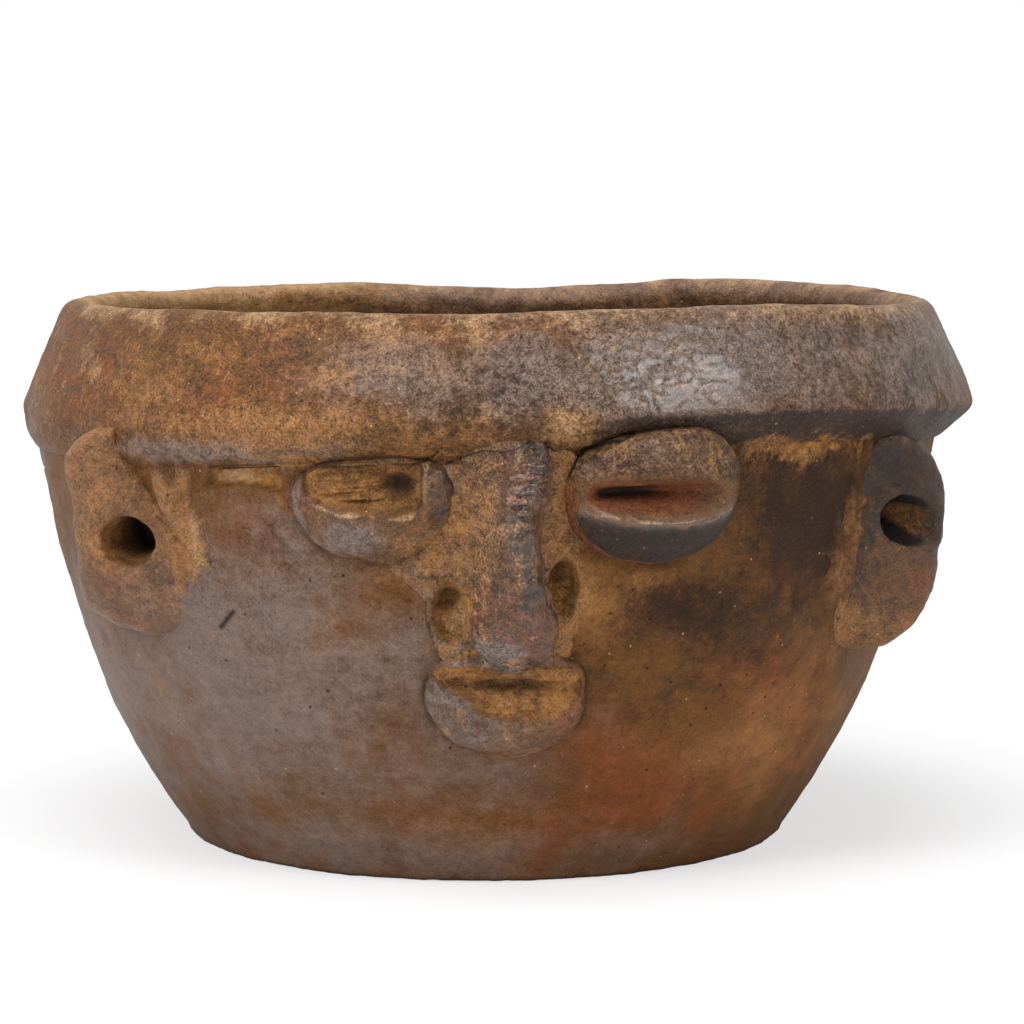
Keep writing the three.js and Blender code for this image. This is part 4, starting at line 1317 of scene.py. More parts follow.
class FACE_POT_OT_collar(bpy.types.Operator):
    """Makes the thick collar that overhangs the wall and leans in to the lip"""

    bl_idname = "face_pot.collar"
    bl_label = "Rim collar"

    # The grid, how much closer its columns lie at the face and the ears, and its rows on the outside
    COLUMNS = 720
    ROWS = 118
    CLOSER = (2.6, 0.6)
    OUTSIDE_DENSITY = 1.6
    INSIDE_DENSITY = 0.8
    OUTSIDE_PAST_LIP = 40

    # Pressed facets, wiping strokes and fine grain: amount, stretch, size, seed
    UNEVEN = (
        (0.35, (1, 1, 1.6), 15, EDGE_SEED),
        (0.12, (0.45, 0.45, 2), 5, STREAK_SEED),
        (0.07, (1, 1, 1), 2.4, SKIN_SEED),
    )
    FLAKES = 0.12
    FLAKE_SIZE = 1.3
    CRACK_DEPTH = 0.8

    # Rows past the lip's top between which the outside ends and the lip's band of wear and painted highlight
    # ends
    WANDER_SIZE = 5
    OUTSIDE_ROWS = (3, -2)
    LIP_ROWS = (14, 2)
    # The lip's band, worn clay and a painted highlight: width, amount and change by noise
    LIP_WIDTH = 3.2
    LIP_WORN_AND_HIGHLIGHT = 0.42
    LIP_WORN_AND_HIGHLIGHT_CHANGE = 0.35
    # Gloss beside the crackled patch and smoke in it
    PLAIN_GLOSS = 0.45
    CRACKLE_SMOKE = 0.4
    # Masks of the inside: amount, more of it on the left, depths below the lip where it starts and is full
    LEFT_FROM = (-10, -60)
    # Painted shade and light: smoke grows with depth below the lip, less on the lit left; pale, worn clay on
    # the left
    INSIDE = {
        "smoke": (1.0, -0.6, (0.5, 6.5)), "tan": (0.35, 0.6, (12, 4)),
        "worn": (0, 0.4, (9, 3)), "grey": (0.6, -0.3, (7, 2)),
    }
    INSIDE_GRAIN = 0.3
    # Smoke and painted shade under the edge on the right, by height over the edge and place across
    UNDER_SMOKE_AND_SHADE = (0.9, 1, -1.5)
    UNDER_FROM = (12, 24)
    # Earth in the crease, by height over the shoulder, where noise gathers it
    CREASE_EARTH = (0.7, 0.5, 1.4)
    CREASE_GAPS = (-0.1, 0.6)

    def execute(self, context):
        bowl = Bowl(context.scene.bowl_sizes)
        loop = bowl.collar_loop()
        outer = np.arange(len(loop)) < np.argmax(loop[:, 1]) + self.OUTSIDE_PAST_LIP
        density = np.where(outer, self.OUTSIDE_DENSITY, self.INSIDE_DENSITY)
        line = respaced(loop, density, self.ROWS + 1)[:-1]
        azimuth = azimuths(self.COLUMNS, *self.CLOSER)[None, :]
        radius, level = line[:, :1], line[:, 1:]
        slope = np.gradient(line, axis=0)
        turned = np.stack([slope[:, 1], -slope[:, 0]], axis=-1)
        turned /= np.linalg.norm(turned, axis=-1, keepdims=True)
        move = self.skin(bowl.shaped(azimuth, radius, level))
        points = bowl.shaped(azimuth, radius + turned[:, :1] * move, level + turned[:, 1:] * move)
        masks = self.masks(bowl, points, level)
        put(context, "collar_ring", points, masks, "collar", ("rim_collar",), ring=True)
        return {"FINISHED"}

    def skin(self, points):
        """Unevenness of the collar: facets, wiping strokes, fine grain, flakes and the cracks at the nose."""
        flakes = self.FLAKES * clouds(points, CRACKLED) * layered(points, self.FLAKE_SIZE, CLOUD_SEED)
        return uneven(points, self.UNEVEN) + flakes - self.CRACK_DEPTH * cracked(points)

    def masks(self, bowl, points, level):
        """The collar's masks: worn lip with painted highlight, crackle, painted shade inside and under the
        edge, crease earth.
        """
        masks = firing(points)
        across = points[..., 0]
        wander = layered(points, self.WANDER_SIZE, EDGE_SEED)
        past_lip = np.arange(len(level))[:, None] - np.argmax(level)
        outside = ease(past_lip, *self.OUTSIDE_ROWS)
        inside = 1 - outside
        lip = bell(level - bowl.lip_height, self.LIP_WIDTH) * ease(past_lip, *self.LIP_ROWS)
        masks["crackle"] = clouds(points, CRACKLED)
        over(masks, "smoke", self.CRACKLE_SMOKE * outside * masks["crackle"])
        faded(masks, ("gloss",), self.PLAIN_GLOSS)
        faded(masks, ("smoke", "red", "grey", "tan", "worn", "crack", "crackle", "grain"), outside)
        masks["gloss"] = np.maximum(masks["gloss"], masks["crackle"]) * outside
        # Worn clay and a painted highlight along the lip
        over(masks, "worn", lip * (self.LIP_WORN_AND_HIGHLIGHT + self.LIP_WORN_AND_HIGHLIGHT_CHANGE * wander))
        # Painted shade inside by depth below the lip, and painted light towards the left
        left = ease(across, *self.LEFT_FROM)
        for key, (amount, more, depths) in self.INSIDE.items():
            masks[key] = masks[key] + inside * (amount + more * left) * ease(bowl.lip_height - level, *depths)
        masks["grain"] = masks["grain"] + self.INSIDE_GRAIN * inside
        # Smoke under the edge: dark slip and painted shade
        under = step(level - bowl.shoulder_height - bowl.undercut, self.UNDER_SMOKE_AND_SHADE) * outside
        over(masks, "smoke", under * ease(across, *self.UNDER_FROM) * front(points))
        crease = hump(level - bowl.shoulder_height, self.CREASE_EARTH) * outside
        masks["ochre"] = crease * ease(wander, *self.CREASE_GAPS)
        return masks


Ear = namedtuple("Ear", "seat outline side slope more inner flare hole hole_share lean shade bright")


class FACE_POT_OT_ears(bpy.types.Operator):
    """Makes the two pierced ear lugs"""

    bl_idname = "face_pot.ears"
    bl_label = "Ear lugs"

    # Each ear: seat and outline; the side it is on; its face's slope outwards and how much it stands out;
    # its reach towards the face by height and its flare away from it; its hole, with its share of the common
    # size, its lean, how much further its shade reaches and how much less at its lit end
    LEFT = Ear(
        LEFT_EAR_SEAT, LEFT_EAR_OUTLINE, -1, 0.46, 0, (1.3, 1.1, 0.95, 0.5, 0.2, 0.12), 0.3,
        LEFT_HOLE, 1, HOLE_LEAN, 0, 0,
    )
    RIGHT = Ear(
        RIGHT_EAR_SEAT, RIGHT_EAR_OUTLINE, 1, 0.92, 1.2, (1.3, 1.0, 1.0, 0.95, 0.9, 0.9), 0,
        RIGHT_HOLE, 0.86, 0, 0.17, 0.35,
    )
    INNER_LEVELS = (-12, -2, 3, 9.7, 16, 19)
    FLARE_LEVELS = (0, -15)

    # How a lug is pressed on, its ragged border and its skin's size and unevenness
    PRESS = {"squareness": 3.0, "tall": 0.9, "depth": 5.4}
    RAGGED = 0.04
    SKIN = (6, 0.4)
    # Swelling below the hole, fall to the top; the hole's rim, wall and depth, by distance in its own radius
    SWELLING = (0.5, -9, 7)
    TOP_FALL = (0.8, 8, 18)
    HOLE_RIM = (0.5, 1.4, 0.35)
    HOLE_WALL = (1.1, 0.82)
    HOLE_SINK = 4.6

    # Masks of both: earth in hole and border, painted shade and light in the hole, the seam, red clay, grain
    WANDER_SIZE = 4
    HOLE_INSIDE = (1.15, 0.85)
    HOLE_EARTH = 0.75
    BORDER_EARTH = (0.4, 1, 0.06)
    BORDER_GAPS = (0, 0.6)
    SHADE_START = 1.1
    SHADE = (0, 0.32)
    LIT_END = (2.2, 4.2)
    HOLE_PAINTED_LIGHT = (0.3, 0.9, 0.5)
    HOLE_LIT = (0.2, -0.3)
    SEAM = (0.55, 0.99, 0.02)
    SEAM_ACROSS = (-1, 2)
    SEAM_LEVELS = (2, 8)
    SEAM_GAPS = (-0.6, 0.1)
    RED = (0.35, -0.2, 0.5)
    GRAIN_SHARE = 0.6
    GRAIN_LEAST = 0.4
    # Masks of the left one: pale clay, less of it below; a shadow at the seam; grey and red clay
    LEFT_TAN = 0.5
    LEFT_TAN_LESS = (0.3, -2, -10)
    LEFT_SHADOW = (3, 8, 3, 6, 0.4)
    LEFT_GREY_SHARE = 0.3
    LEFT_RED = 0.3
    # Masks of the right one: pale clay below and smoke above
    RIGHT_TAN = (0.5, -5, -13)
    RIGHT_CLEAR = (-16, -6)
    RIGHT_SMOKE = (0.75, -8, 4)

    def lug(self, context, ear):
        """A flat lug whose outer side stands further out, with a round hole that goes on into the wall.

        The side towards the face is drawn in at the top and flares at the bottom.
        """
        sizes = context.scene.face_sizes
        stand = sizes.ear / MM + ear.more
        hole_radius = sizes.ear_hole / MM / 2 * ear.hole_share
        plain = filling(ear.outline, self.RAGGED)

        def from_hole(across, up):
            return np.hypot(across - ear.hole[0], up - ear.hole[1]) / hole_radius

        def spread(share, turn):
            across, up = plain(share, turn)
            inner = np.interp(up, self.INNER_LEVELS, ear.inner)
            outer = 1 + ear.flare * ease(up, *self.FLARE_LEVELS)
            return across * np.where(across * ear.side < 0, inner, outer), up

        def top(across, up):
            face = stand + ear.slope * ear.side * across + hump(up, self.SWELLING) - step(up, self.TOP_FALL)
            away = from_hole(across, up)
            sunk = ease(away, *self.HOLE_WALL)
            return (face + hump(away, self.HOLE_RIM)) * (1 - sunk) - self.HOLE_SINK * sunk

        def lean(across, up):
            return -ear.lean * ease(from_hole(across, up), *self.HOLE_WALL) * (stand + self.HOLE_SINK)

        sheet = pressed_on(seat_at(context, ear.seat), spread, stand=stand, top=top, lean=lean, **self.PRESS)
        sheet = roughened(sheet, *self.SKIN)
        masks = firing(sheet.points)
        away = from_hole(sheet.across, sheet.up)
        inside = ease(away, *self.HOLE_INSIDE)
        wander = layered(sheet.points, self.WANDER_SIZE, EDGE_SEED)
        over(masks, "ochre", self.HOLE_EARTH * inside)
        over(masks, "ochre", hump(sheet.share, self.BORDER_EARTH) * ease(wander, *self.BORDER_GAPS))
        # Painted shade in the hole, less at its lit end, and painted light with worn clay where it is lit
        lit = ease(ear.side * (sheet.across - ear.hole[0]), *self.LIT_END)
        shade = self.SHADE_START - away + ear.shade - ear.bright * lit
        seam = hump(sheet.share, self.SEAM) * ease(-ear.side * sheet.across, *self.SEAM_ACROSS)
        seam = seam * ease(sheet.up, *self.SEAM_LEVELS) * ease(wander, *self.SEAM_GAPS)
        over(masks, "crack", ease(shade, *self.SHADE), seam)
        over(masks, "worn", step(away, self.HOLE_PAINTED_LIGHT) * ease(shade, *self.HOLE_LIT))
        over(masks, "red", (1 - inside) * step(wander, self.RED))
        masks["grain"] = np.maximum(self.GRAIN_SHARE * masks["grain"], self.GRAIN_LEAST)
        return sheet, masks, inside

    def execute(self, context):
        sheet, masks, _ = self.lug(context, self.LEFT)
        over(masks, "tan", self.LEFT_TAN - step(sheet.up, self.LEFT_TAN_LESS))
        over(masks, "smoke", dab(sheet.across, sheet.up, self.LEFT_SHADOW))
        over(masks, "red", self.LEFT_RED)
        faded(masks, ("grey",), self.LEFT_GREY_SHARE)
        put(context, "left_ear_lug", sheet.points, masks, "applied", ("left_ear",))
        sheet, masks, inside = self.lug(context, self.RIGHT)
        over(masks, "tan", step(sheet.up, self.RIGHT_TAN))
        faded(masks, ("smoke",), ease(sheet.up, *self.RIGHT_CLEAR))
        over(masks, "smoke", step(sheet.up, self.RIGHT_SMOKE))
        faded(masks, ("smoke",), 1 - inside)
        put(context, "right_ear_lug", sheet.points, masks, "applied", ("right_ear",))
        return {"FINISHED"}


class FACE_POT_OT_ear_smears(bpy.types.Operator):
    """Makes the smears of clay that join the ears to the wall"""

    bl_idname = "face_pot.ear_smears"
    bl_label = "Ear smears"

    # How a smear is pressed on, its ragged border's depth and size, its skin's size and unevenness
    PRESS = {"squareness": 1.5, "rings": 70, "spokes": 260, "sink": 0.7, "depth": 2.5, "tall": 0.25}
    RAGGED = (0.3, 7)
    SKIN = (4, 0.35)
    # Thickness in the middle, as a share, and its growth towards the ear; ridges left by the fingers
    MIDDLE = 0.9
    GROWTH = 0.06
    SLANTED = (0.45, 1.5, 0.35)
    LEVEL = (0.2, 0.9)

    # Masks: amount and its change by noise; the dark spot; worn clay; how far the smear's own masks count
    WANDER_SIZE = 4
    TAN = (0.9, 0.4)
    EARTH = (0.1, 0.4)
    SMOKE = (0.08, 0.25)
    GREY = 0.5
    DARK_SPOT = (0, -5.4, 3, 3, 0.7)
    WORN = (0.7, -0.2, 0.5)
    WORN_ACROSS = (1, 4)
    BORDER = (0.95, 0.6)
    LEFT_WEIGHT = 0.8
    RIGHT_WEIGHT = 0.4

    def smear(self, context, name, node, place, side, weight):
        """A low ragged lens of clay, thickest towards the ear."""
        thick = context.scene.face_sizes.weld / MM

        def top(across, up):
            amount, by_across, by_up = self.SLANTED
            ridges = amount * np.sin(by_across * across + by_up * up)
            amount, by_up = self.LEVEL
            ridges = ridges + amount * np.sin(by_up * up)
            return thick * (self.MIDDLE + self.GROWTH * side * across) + ridges

        spread = filling(SMEAR_OUTLINE, *self.RAGGED, EDGE_SEED + side)
        sheet = pressed_on(seat_at(context, place), spread, stand=thick, top=top, **self.PRESS)
        sheet = roughened(sheet, *self.SKIN)
        wander = layered(sheet.points, self.WANDER_SIZE, EDGE_SEED)
        tan, earth, smoke = (base + change * wander for base, change in (self.TAN, self.EARTH, self.SMOKE))
        own = {
            "tan": share_of(tan), "ochre": share_of(earth), "grey": self.GREY,
            "smoke": smoke + dab(sheet.across, sheet.up, self.DARK_SPOT),
            "worn": step(wander, self.WORN) * ease(-side * sheet.across, *self.WORN_ACROSS),
        }
        masks = blended(firing(sheet.points), own, weight * ease(sheet.share, *self.BORDER))
        put(context, name, sheet.points, masks, "smeared", (node,))

    def execute(self, context):
        self.smear(context, "left_ear_smear", "left_ear_weld", LEFT_WELD_SEAT, -1, self.LEFT_WEIGHT)
        self.smear(context, "right_ear_smear", "right_ear_weld", RIGHT_WELD_SEAT, 1, self.RIGHT_WEIGHT)
        return {"FINISHED"}


class ScoopedEye:
    """The left eye: a pellet with a scooped slot."""

    # How it is pressed on, its ragged border and its skin's size and unevenness
    SQUARENESS = 1.75
    RAGGED = 0.03
    SKIN = (2.4, 0.26)
    # The slot's top, its lower edge as places across and up, and how softly it ends on each side
    SLOT_TOP = 4.6
    SLOT_ACROSS = (-12.8, -11.8, -9.2, -5.8, -1.3, 3, 6.8, 8.5)
    SLOT_LOW = (2.4, 0.6, -1.1, -2.4, -2.8, -3.4, -3.3, -1.8)
    SOFT_TOP = (0.5, -0.2)
    SOFT_LOW = (-0.2, 0.8)
    SOFT_LEFT = (0, 1.2)
    SOFT_RIGHT = (0, -1)
    CARRIED_TOP = (0.6, -0.4)
    # The slot's floor, the hollow at its right end, and strokes along it
    SLOT_FLOOR = 1.5
    HOLLOW = (4.2, 0.4, 3.6, 3, 1)
    HOLLOW_DEPTH = 3.0
    STROKES = 0.4
    STROKE_SIZE = 1.6
    STROKE_STRETCH = (0.2, 2.2)
    STROKE_END = (5, 1)
    # The flaked lip along the lower edge, and the pellet's lower part on the right, which falls back
    LIP = (0.5, -0.4, 0.5)
    LIP_SPAN = (-1.5, 10, 7)
    FLAKE_SIZE = 3
    FLAKES = (-0.3, 0.3)
    SLACK = (0.25, 0, 10)
    SLACK_LEVELS = (-2, -8)

    # Masks: weight against the pot's own, the rim on the right, and each mask's own patches
    WANDER_SIZE = 3
    WEIGHT = 0.9
    RIGHT_RIM = (8.4, 9.6)
    RIGHT_RIM_LEVELS = (-7, -2)
    SLOT_EARTH = 0.95
    TAN = (0.5, -1, 5)
    TAN_LEVELS = (-1, -5)
    RED = (0.35, -0.2, 0.5)
    GREY_PATCH = (-3.5, -6.5, 6.5, 3.2, 0.8)
    GREY_LEFT = (0.65, -11, -13)
    RIM_SMOKE = 0.48
    SMOKE = (0.3, 0, 0.6)
    # Shade in the hollow, under the slot's top, round the pellet and at the slot's border
    HOLLOW_SHADE = (0.6, 0.15, 0.85)
    TOP_SHADE = (0.5, 0, 0.9)
    OUTLINE = (0.6, 0.96, 0.03)
    OUTLINE_GAPS = (-0.9, 0.0)
    BORDER = 2.4
    BORDER_LEVELS = (1, 3)
    BORDER_ENDS = (-1.7, 8.5, 9.5)
    # Worn clay along the lower edge and on the right rim
    WORN_EDGE = (0.75, -0.3, 0.4)
    WORN_GAPS = (-0.4, 0.3)
    WORN_SPAN = (-1, 10, 7)
    WORN_RIM = (0.5, 8.9, 0.5)
    WORN_RIM_LEVELS = (-3, 0)
    GLOSS = 0.45
    RIM_GLOSS = 0.2
    GRAIN = 0.6
    SLOT_GRAIN_LESS = 0.4

    def above_low(self, across, up):
        """How far above the slot's lower edge a point lies."""
        return up - np.interp(across, self.SLOT_ACROSS, self.SLOT_LOW)

    def slot(self, across, up):
        """How far inside the slot a point lies, from 0 to 1."""
        inside = ease(self.above_low(across, up), *self.SOFT_LOW) * ease(up - self.SLOT_TOP, *self.SOFT_TOP)
        inside = inside * ease(across - self.SLOT_ACROSS[0], *self.SOFT_LEFT)
        return inside * ease(across - self.SLOT_ACROSS[-1], *self.SOFT_RIGHT)

    def make(self, context):
        stand = context.scene.face_sizes.left_eye / MM

        def top(across, up):
            slot = self.slot(across, up)
            by_across, by_up = self.STROKE_STRETCH
            strokes = layered(plane(across * by_across, up * by_up), self.STROKE_SIZE, STREAK_SEED)
            floor = self.SLOT_FLOOR - self.HOLLOW_DEPTH * dab(across, up, self.HOLLOW)
            floor = floor + self.STROKES * strokes * ease(across, *self.STROKE_END)
            flakes = ease(noise(plane(across, up), self.FLAKE_SIZE, EDGE_SEED), *self.FLAKES)
            lip = hump(self.above_low(across, up), self.LIP) * flakes * within(across, self.LIP_SPAN)
            slack = 1 - step(across, self.SLACK) * ease(up, *self.SLACK_LEVELS)
            return (stand * slack + lip) * (1 - slot) + floor * slot

        def lift(across, up):
            return 1 - self.slot(across, up) * ease(up - self.SLOT_TOP, *self.CARRIED_TOP)

        spread = filling(LEFT_EYE_OUTLINE, self.RAGGED)
        sheet = pressed_on(seat_at(context, LEFT_EYE_SEAT), spread, self.SQUARENESS, stand, top, lift=lift)
        sheet = roughened(sheet, *self.SKIN)
        across, up = sheet.across, sheet.up
        slot = self.slot(across, up)
        wander = layered(sheet.points, self.WANDER_SIZE, EDGE_SEED)
        right_rim = ease(across, *self.RIGHT_RIM) * ease(up, *self.RIGHT_RIM_LEVELS)
        own = {
            "ochre": self.SLOT_EARTH * slot,
            "tan": step(across, self.TAN) * ease(up, *self.TAN_LEVELS) * (1 - right_rim),
            "red": step(wander, self.RED),
            "grey": np.maximum(dab(across, up, self.GREY_PATCH), step(across, self.GREY_LEFT)),
            "smoke": self.RIM_SMOKE * right_rim + step(wander, self.SMOKE),
        }
        masks = blended(firing(sheet.points), own, self.WEIGHT)
        faded(masks, ("tan", "red", "grey", "smoke"), 1 - slot)
        over(masks, "crack", slot * step(dab(across, up, self.HOLLOW), self.HOLLOW_SHADE))
        over(masks, "crack", slot * hump(up - self.SLOT_TOP, self.TOP_SHADE))
        over(masks, "crack", hump(sheet.share, self.OUTLINE) * ease(wander, *self.OUTLINE_GAPS))
        border = np.maximum(ease(up, *self.BORDER_LEVELS), within(across, self.BORDER_ENDS))
        over(masks, "crack", self.BORDER * slot * (1 - slot) * border)
        ragged = hump(self.above_low(across, up), self.WORN_EDGE) * ease(wander, *self.WORN_GAPS)
        rim = hump(across, self.WORN_RIM) * ease(up, *self.WORN_RIM_LEVELS)
        masks["worn"] = np.maximum(ragged * within(across, self.WORN_SPAN), rim)
        masks["gloss"] = (1 - slot) * (self.GLOSS + self.RIM_GLOSS * right_rim)
        masks["grain"] = np.maximum(masks["grain"], self.GRAIN) * (1 - self.SLOT_GRAIN_LESS * slot)
        put(context, "left_eye_pellet", sheet.points, masks, "applied", ("left_eye",))


class SlitEye:
    """The right eye: a pellet with a pressed slit."""

    # How it is pressed on, its ragged border and its skin's size and unevenness
    SQUARENESS = 2.25
    RAGGED = 0.015
    SKIN = (2.4, 0.13)
    # Levels of the slit and of the ridge below it, which bends up to both sides
    SLIT_LEVEL = -1.1
    RIDGE_LEVEL = -4.4
    RIDGE_BEND = 0.01
    # The valley between lid and ridge: depth, less of it on the right, curve of its lower slope, lid, ends
    VALLEY_DEPTH = 4.6
    VALLEY_LESS = (0.3, -2, 9)
    VALLEY_CURVE = 1.35
    LID = (-0.9, 2.4)
    VALLEY_LEFT = (-14.5, -10)
    VALLEY_RIGHT = (13, 4)
    # The slit in it, the ridge and the low border on the left
    SLIT = (1, 0.3, 1.2)
    SLIT_LEFT = (-13.5, -9)
    SLIT_RIGHT = (6, -5)
    SLIT_DEPTH = 1.4
    RIDGE = (0.9, 0, 0.9)
    RIDGE_SPAN = (-1, 12.5, 7.5)
    SKIRT = (1.2, -14, -16)

    # Masks: where the parts below the ridge and on the lid start, with noise on their borders, and the rims
    WANDER_SIZE = 3
    LOWER = (0.6, -1.4)
    LOWER_WANDER = 0.5
    UPPER = (0.6, 3.4)
    UPPER_WANDER = 0.8
    # The red line along the lower border: red clay and painted rim light
    LOWER_RIM = (1, 0.955, 0.04)
    LEFT_RIM = (-14, -15.4)
    LEFT_RIM_LEVELS = (3, 0)
    # Red in the valley, less of it on the right, and below the ridge
    VALLEY_RED = (0.0, 0.4)
    VALLEY_RED_LESS = (0.4, 0, 8)
    LOWER_RED = 0.3
    # Smoke below the ridge, on the lid, on the right and, as painted shade, in the slit; less of it on the
    # rims
    LOWER_SMOKE = 0.98
    UPPER_SMOKE = 0.5
    RIGHT_SMOKE = (0.5, 8, 13)
    RIM_LESS = 0.9
    SLIT_SHADE_SMOKE = 0.5
    # Shade in the slit and below the ridge
    SLIT_SHADE = (0.72, 4, -4)
    LOWER_SHADE = 0.4
    # Pale clay on the lid and its change with noise; earth at the border and under the lid; grey clay
    TAN = 0.25
    TAN_CHANGE = 0.5
    BORDER_EARTH = (0.35, 0.975, 0.028)
    LID_EARTH = (0.4, 1.2, 0.8)
    LID_EARTH_ACROSS = (2, -6)
    LID_EARTH_DEPTH = (0.1, 0.4)
    GREY = 0.3
    # The painted highlight along the ridge, laid with the worn mask, and gloss and grain
    GLINT = (0.6, 0.2, 0.3)
    GLINT_LEFT = (-12, -9)
    GLINT_RIGHT = (1, -3)
    GLINT_GAPS = (-0.5, 0.2)
    GLOSS = 0.18
    RIDGE_GLOSS = (0.82, -0.1, 1.1)
    VALLEY_DULL = (0.4, 0.8)
    LOWER_GRAIN = 0.85
    GRAIN = 0.35

    def above_ridge(self, across, up):
        """How far above the ridge a point lies."""
        return up - (self.RIDGE_LEVEL + self.RIDGE_BEND * across ** 2)

    def valley(self, across, up):
        """How deep in the valley a point lies: a lid's step above the slit, a slope to the ridge below."""
        rise = self.above_ridge(across, up)
        below = share_of(rise / (rise + self.SLIT_LEVEL - up)) ** self.VALLEY_CURVE
        above = 1 - ease(up, *self.LID)
        span = ease(across, *self.VALLEY_LEFT) * ease(across, *self.VALLEY_RIGHT)
        return np.where(up < self.SLIT_LEVEL, below, above) * span

    def slit(self, across, up):
        """How far inside the slit a point lies, from 0 to 1."""
        inside = hump(up - self.SLIT_LEVEL, self.SLIT)
        return inside * ease(across, *self.SLIT_LEFT) * ease(across, *self.SLIT_RIGHT)

    def make(self, context):
        stand = context.scene.face_sizes.right_eye / MM

        def top(across, up):
            ridge = hump(self.above_ridge(across, up), self.RIDGE) * within(across, self.RIDGE_SPAN)
            depth = self.VALLEY_DEPTH * (1 - step(across, self.VALLEY_LESS))
            pressed = depth * self.valley(across, up) + self.SLIT_DEPTH * self.slit(across, up)
            return stand + ridge - pressed - step(across, self.SKIRT)

        spread = filling(RIGHT_EYE_OUTLINE, self.RAGGED)
        sheet = pressed_on(seat_at(context, RIGHT_EYE_SEAT), spread, self.SQUARENESS, stand, top)
        sheet = roughened(sheet, *self.SKIN)
        across, up = sheet.across, sheet.up
        masks = firing(sheet.points)
        dip = self.valley(across, up)
        slit = self.slit(across, up)
        rise = self.above_ridge(across, up)
        wander = layered(sheet.points, self.WANDER_SIZE, EDGE_SEED)
        lower = ease(rise - self.LOWER_WANDER * wander, *self.LOWER)
        upper = ease(up + self.UPPER_WANDER * wander, *self.UPPER)
        rim = ease(across, *self.LEFT_RIM) * ease(up, *self.LEFT_RIM_LEVELS)
        # The lower rim: red clay and painted rim light
        rim = np.maximum(hump(sheet.share, self.LOWER_RIM) * lower, rim)
        valley_red = ease(dip, *self.VALLEY_RED) * (1 - step(across, self.VALLEY_RED_LESS))
        masks["red"] = np.maximum.reduce([valley_red, rim, self.LOWER_RED * lower])
        dark = upper * self.UPPER_SMOKE * (1 + wander) + step(across, self.RIGHT_SMOKE)
        dark = np.maximum(self.LOWER_SMOKE * lower, dark) * (1 - self.RIM_LESS * rim)
        # Smoke, with painted shade in the slit
        masks["smoke"] = share_of(dark + self.SLIT_SHADE_SMOKE * slit)
        over(masks, "crack", slit * step(across, self.SLIT_SHADE), self.LOWER_SHADE * lower * (1 - rim))
        masks["tan"] = upper * share_of(self.TAN + self.TAN_CHANGE * wander)
        lid_earth = hump(up, self.LID_EARTH) * ease(across, *self.LID_EARTH_ACROSS)
        lid_earth = lid_earth * ease(dip, *self.LID_EARTH_DEPTH)
        masks["ochre"] = np.maximum(hump(sheet.share, self.BORDER_EARTH) * (1 - lower), lid_earth)
        masks["grey"] = self.GREY * upper
        glint = hump(rise, self.GLINT) * ease(across, *self.GLINT_LEFT) * ease(across, *self.GLINT_RIGHT)
        # Painted highlight: the glint along the ridge, laid with the worn mask
        masks["worn"] = glint * ease(wander, *self.GLINT_GAPS)
        masks["gloss"] = (self.GLOSS + hump(rise, self.RIDGE_GLOSS)) * (1 - ease(dip, *self.VALLEY_DULL))
        masks["grain"] = np.maximum(np.maximum(upper, self.LOWER_GRAIN * lower), self.GRAIN)
        put(context, "right_eye_pellet", sheet.points, masks, "applied", ("right_eye",))


class FACE_POT_OT_eyes(bpy.types.Operator):
    """Makes the two eye pellets: the left with a scooped slot, the right with a pressed slit"""

    bl_idname = "face_pot.eyes"
    bl_label = "Eyes"

    def execute(self, context):
        ScoopedEye().make(context)
        SlitEye().make(context)
        return {"FINISHED"}


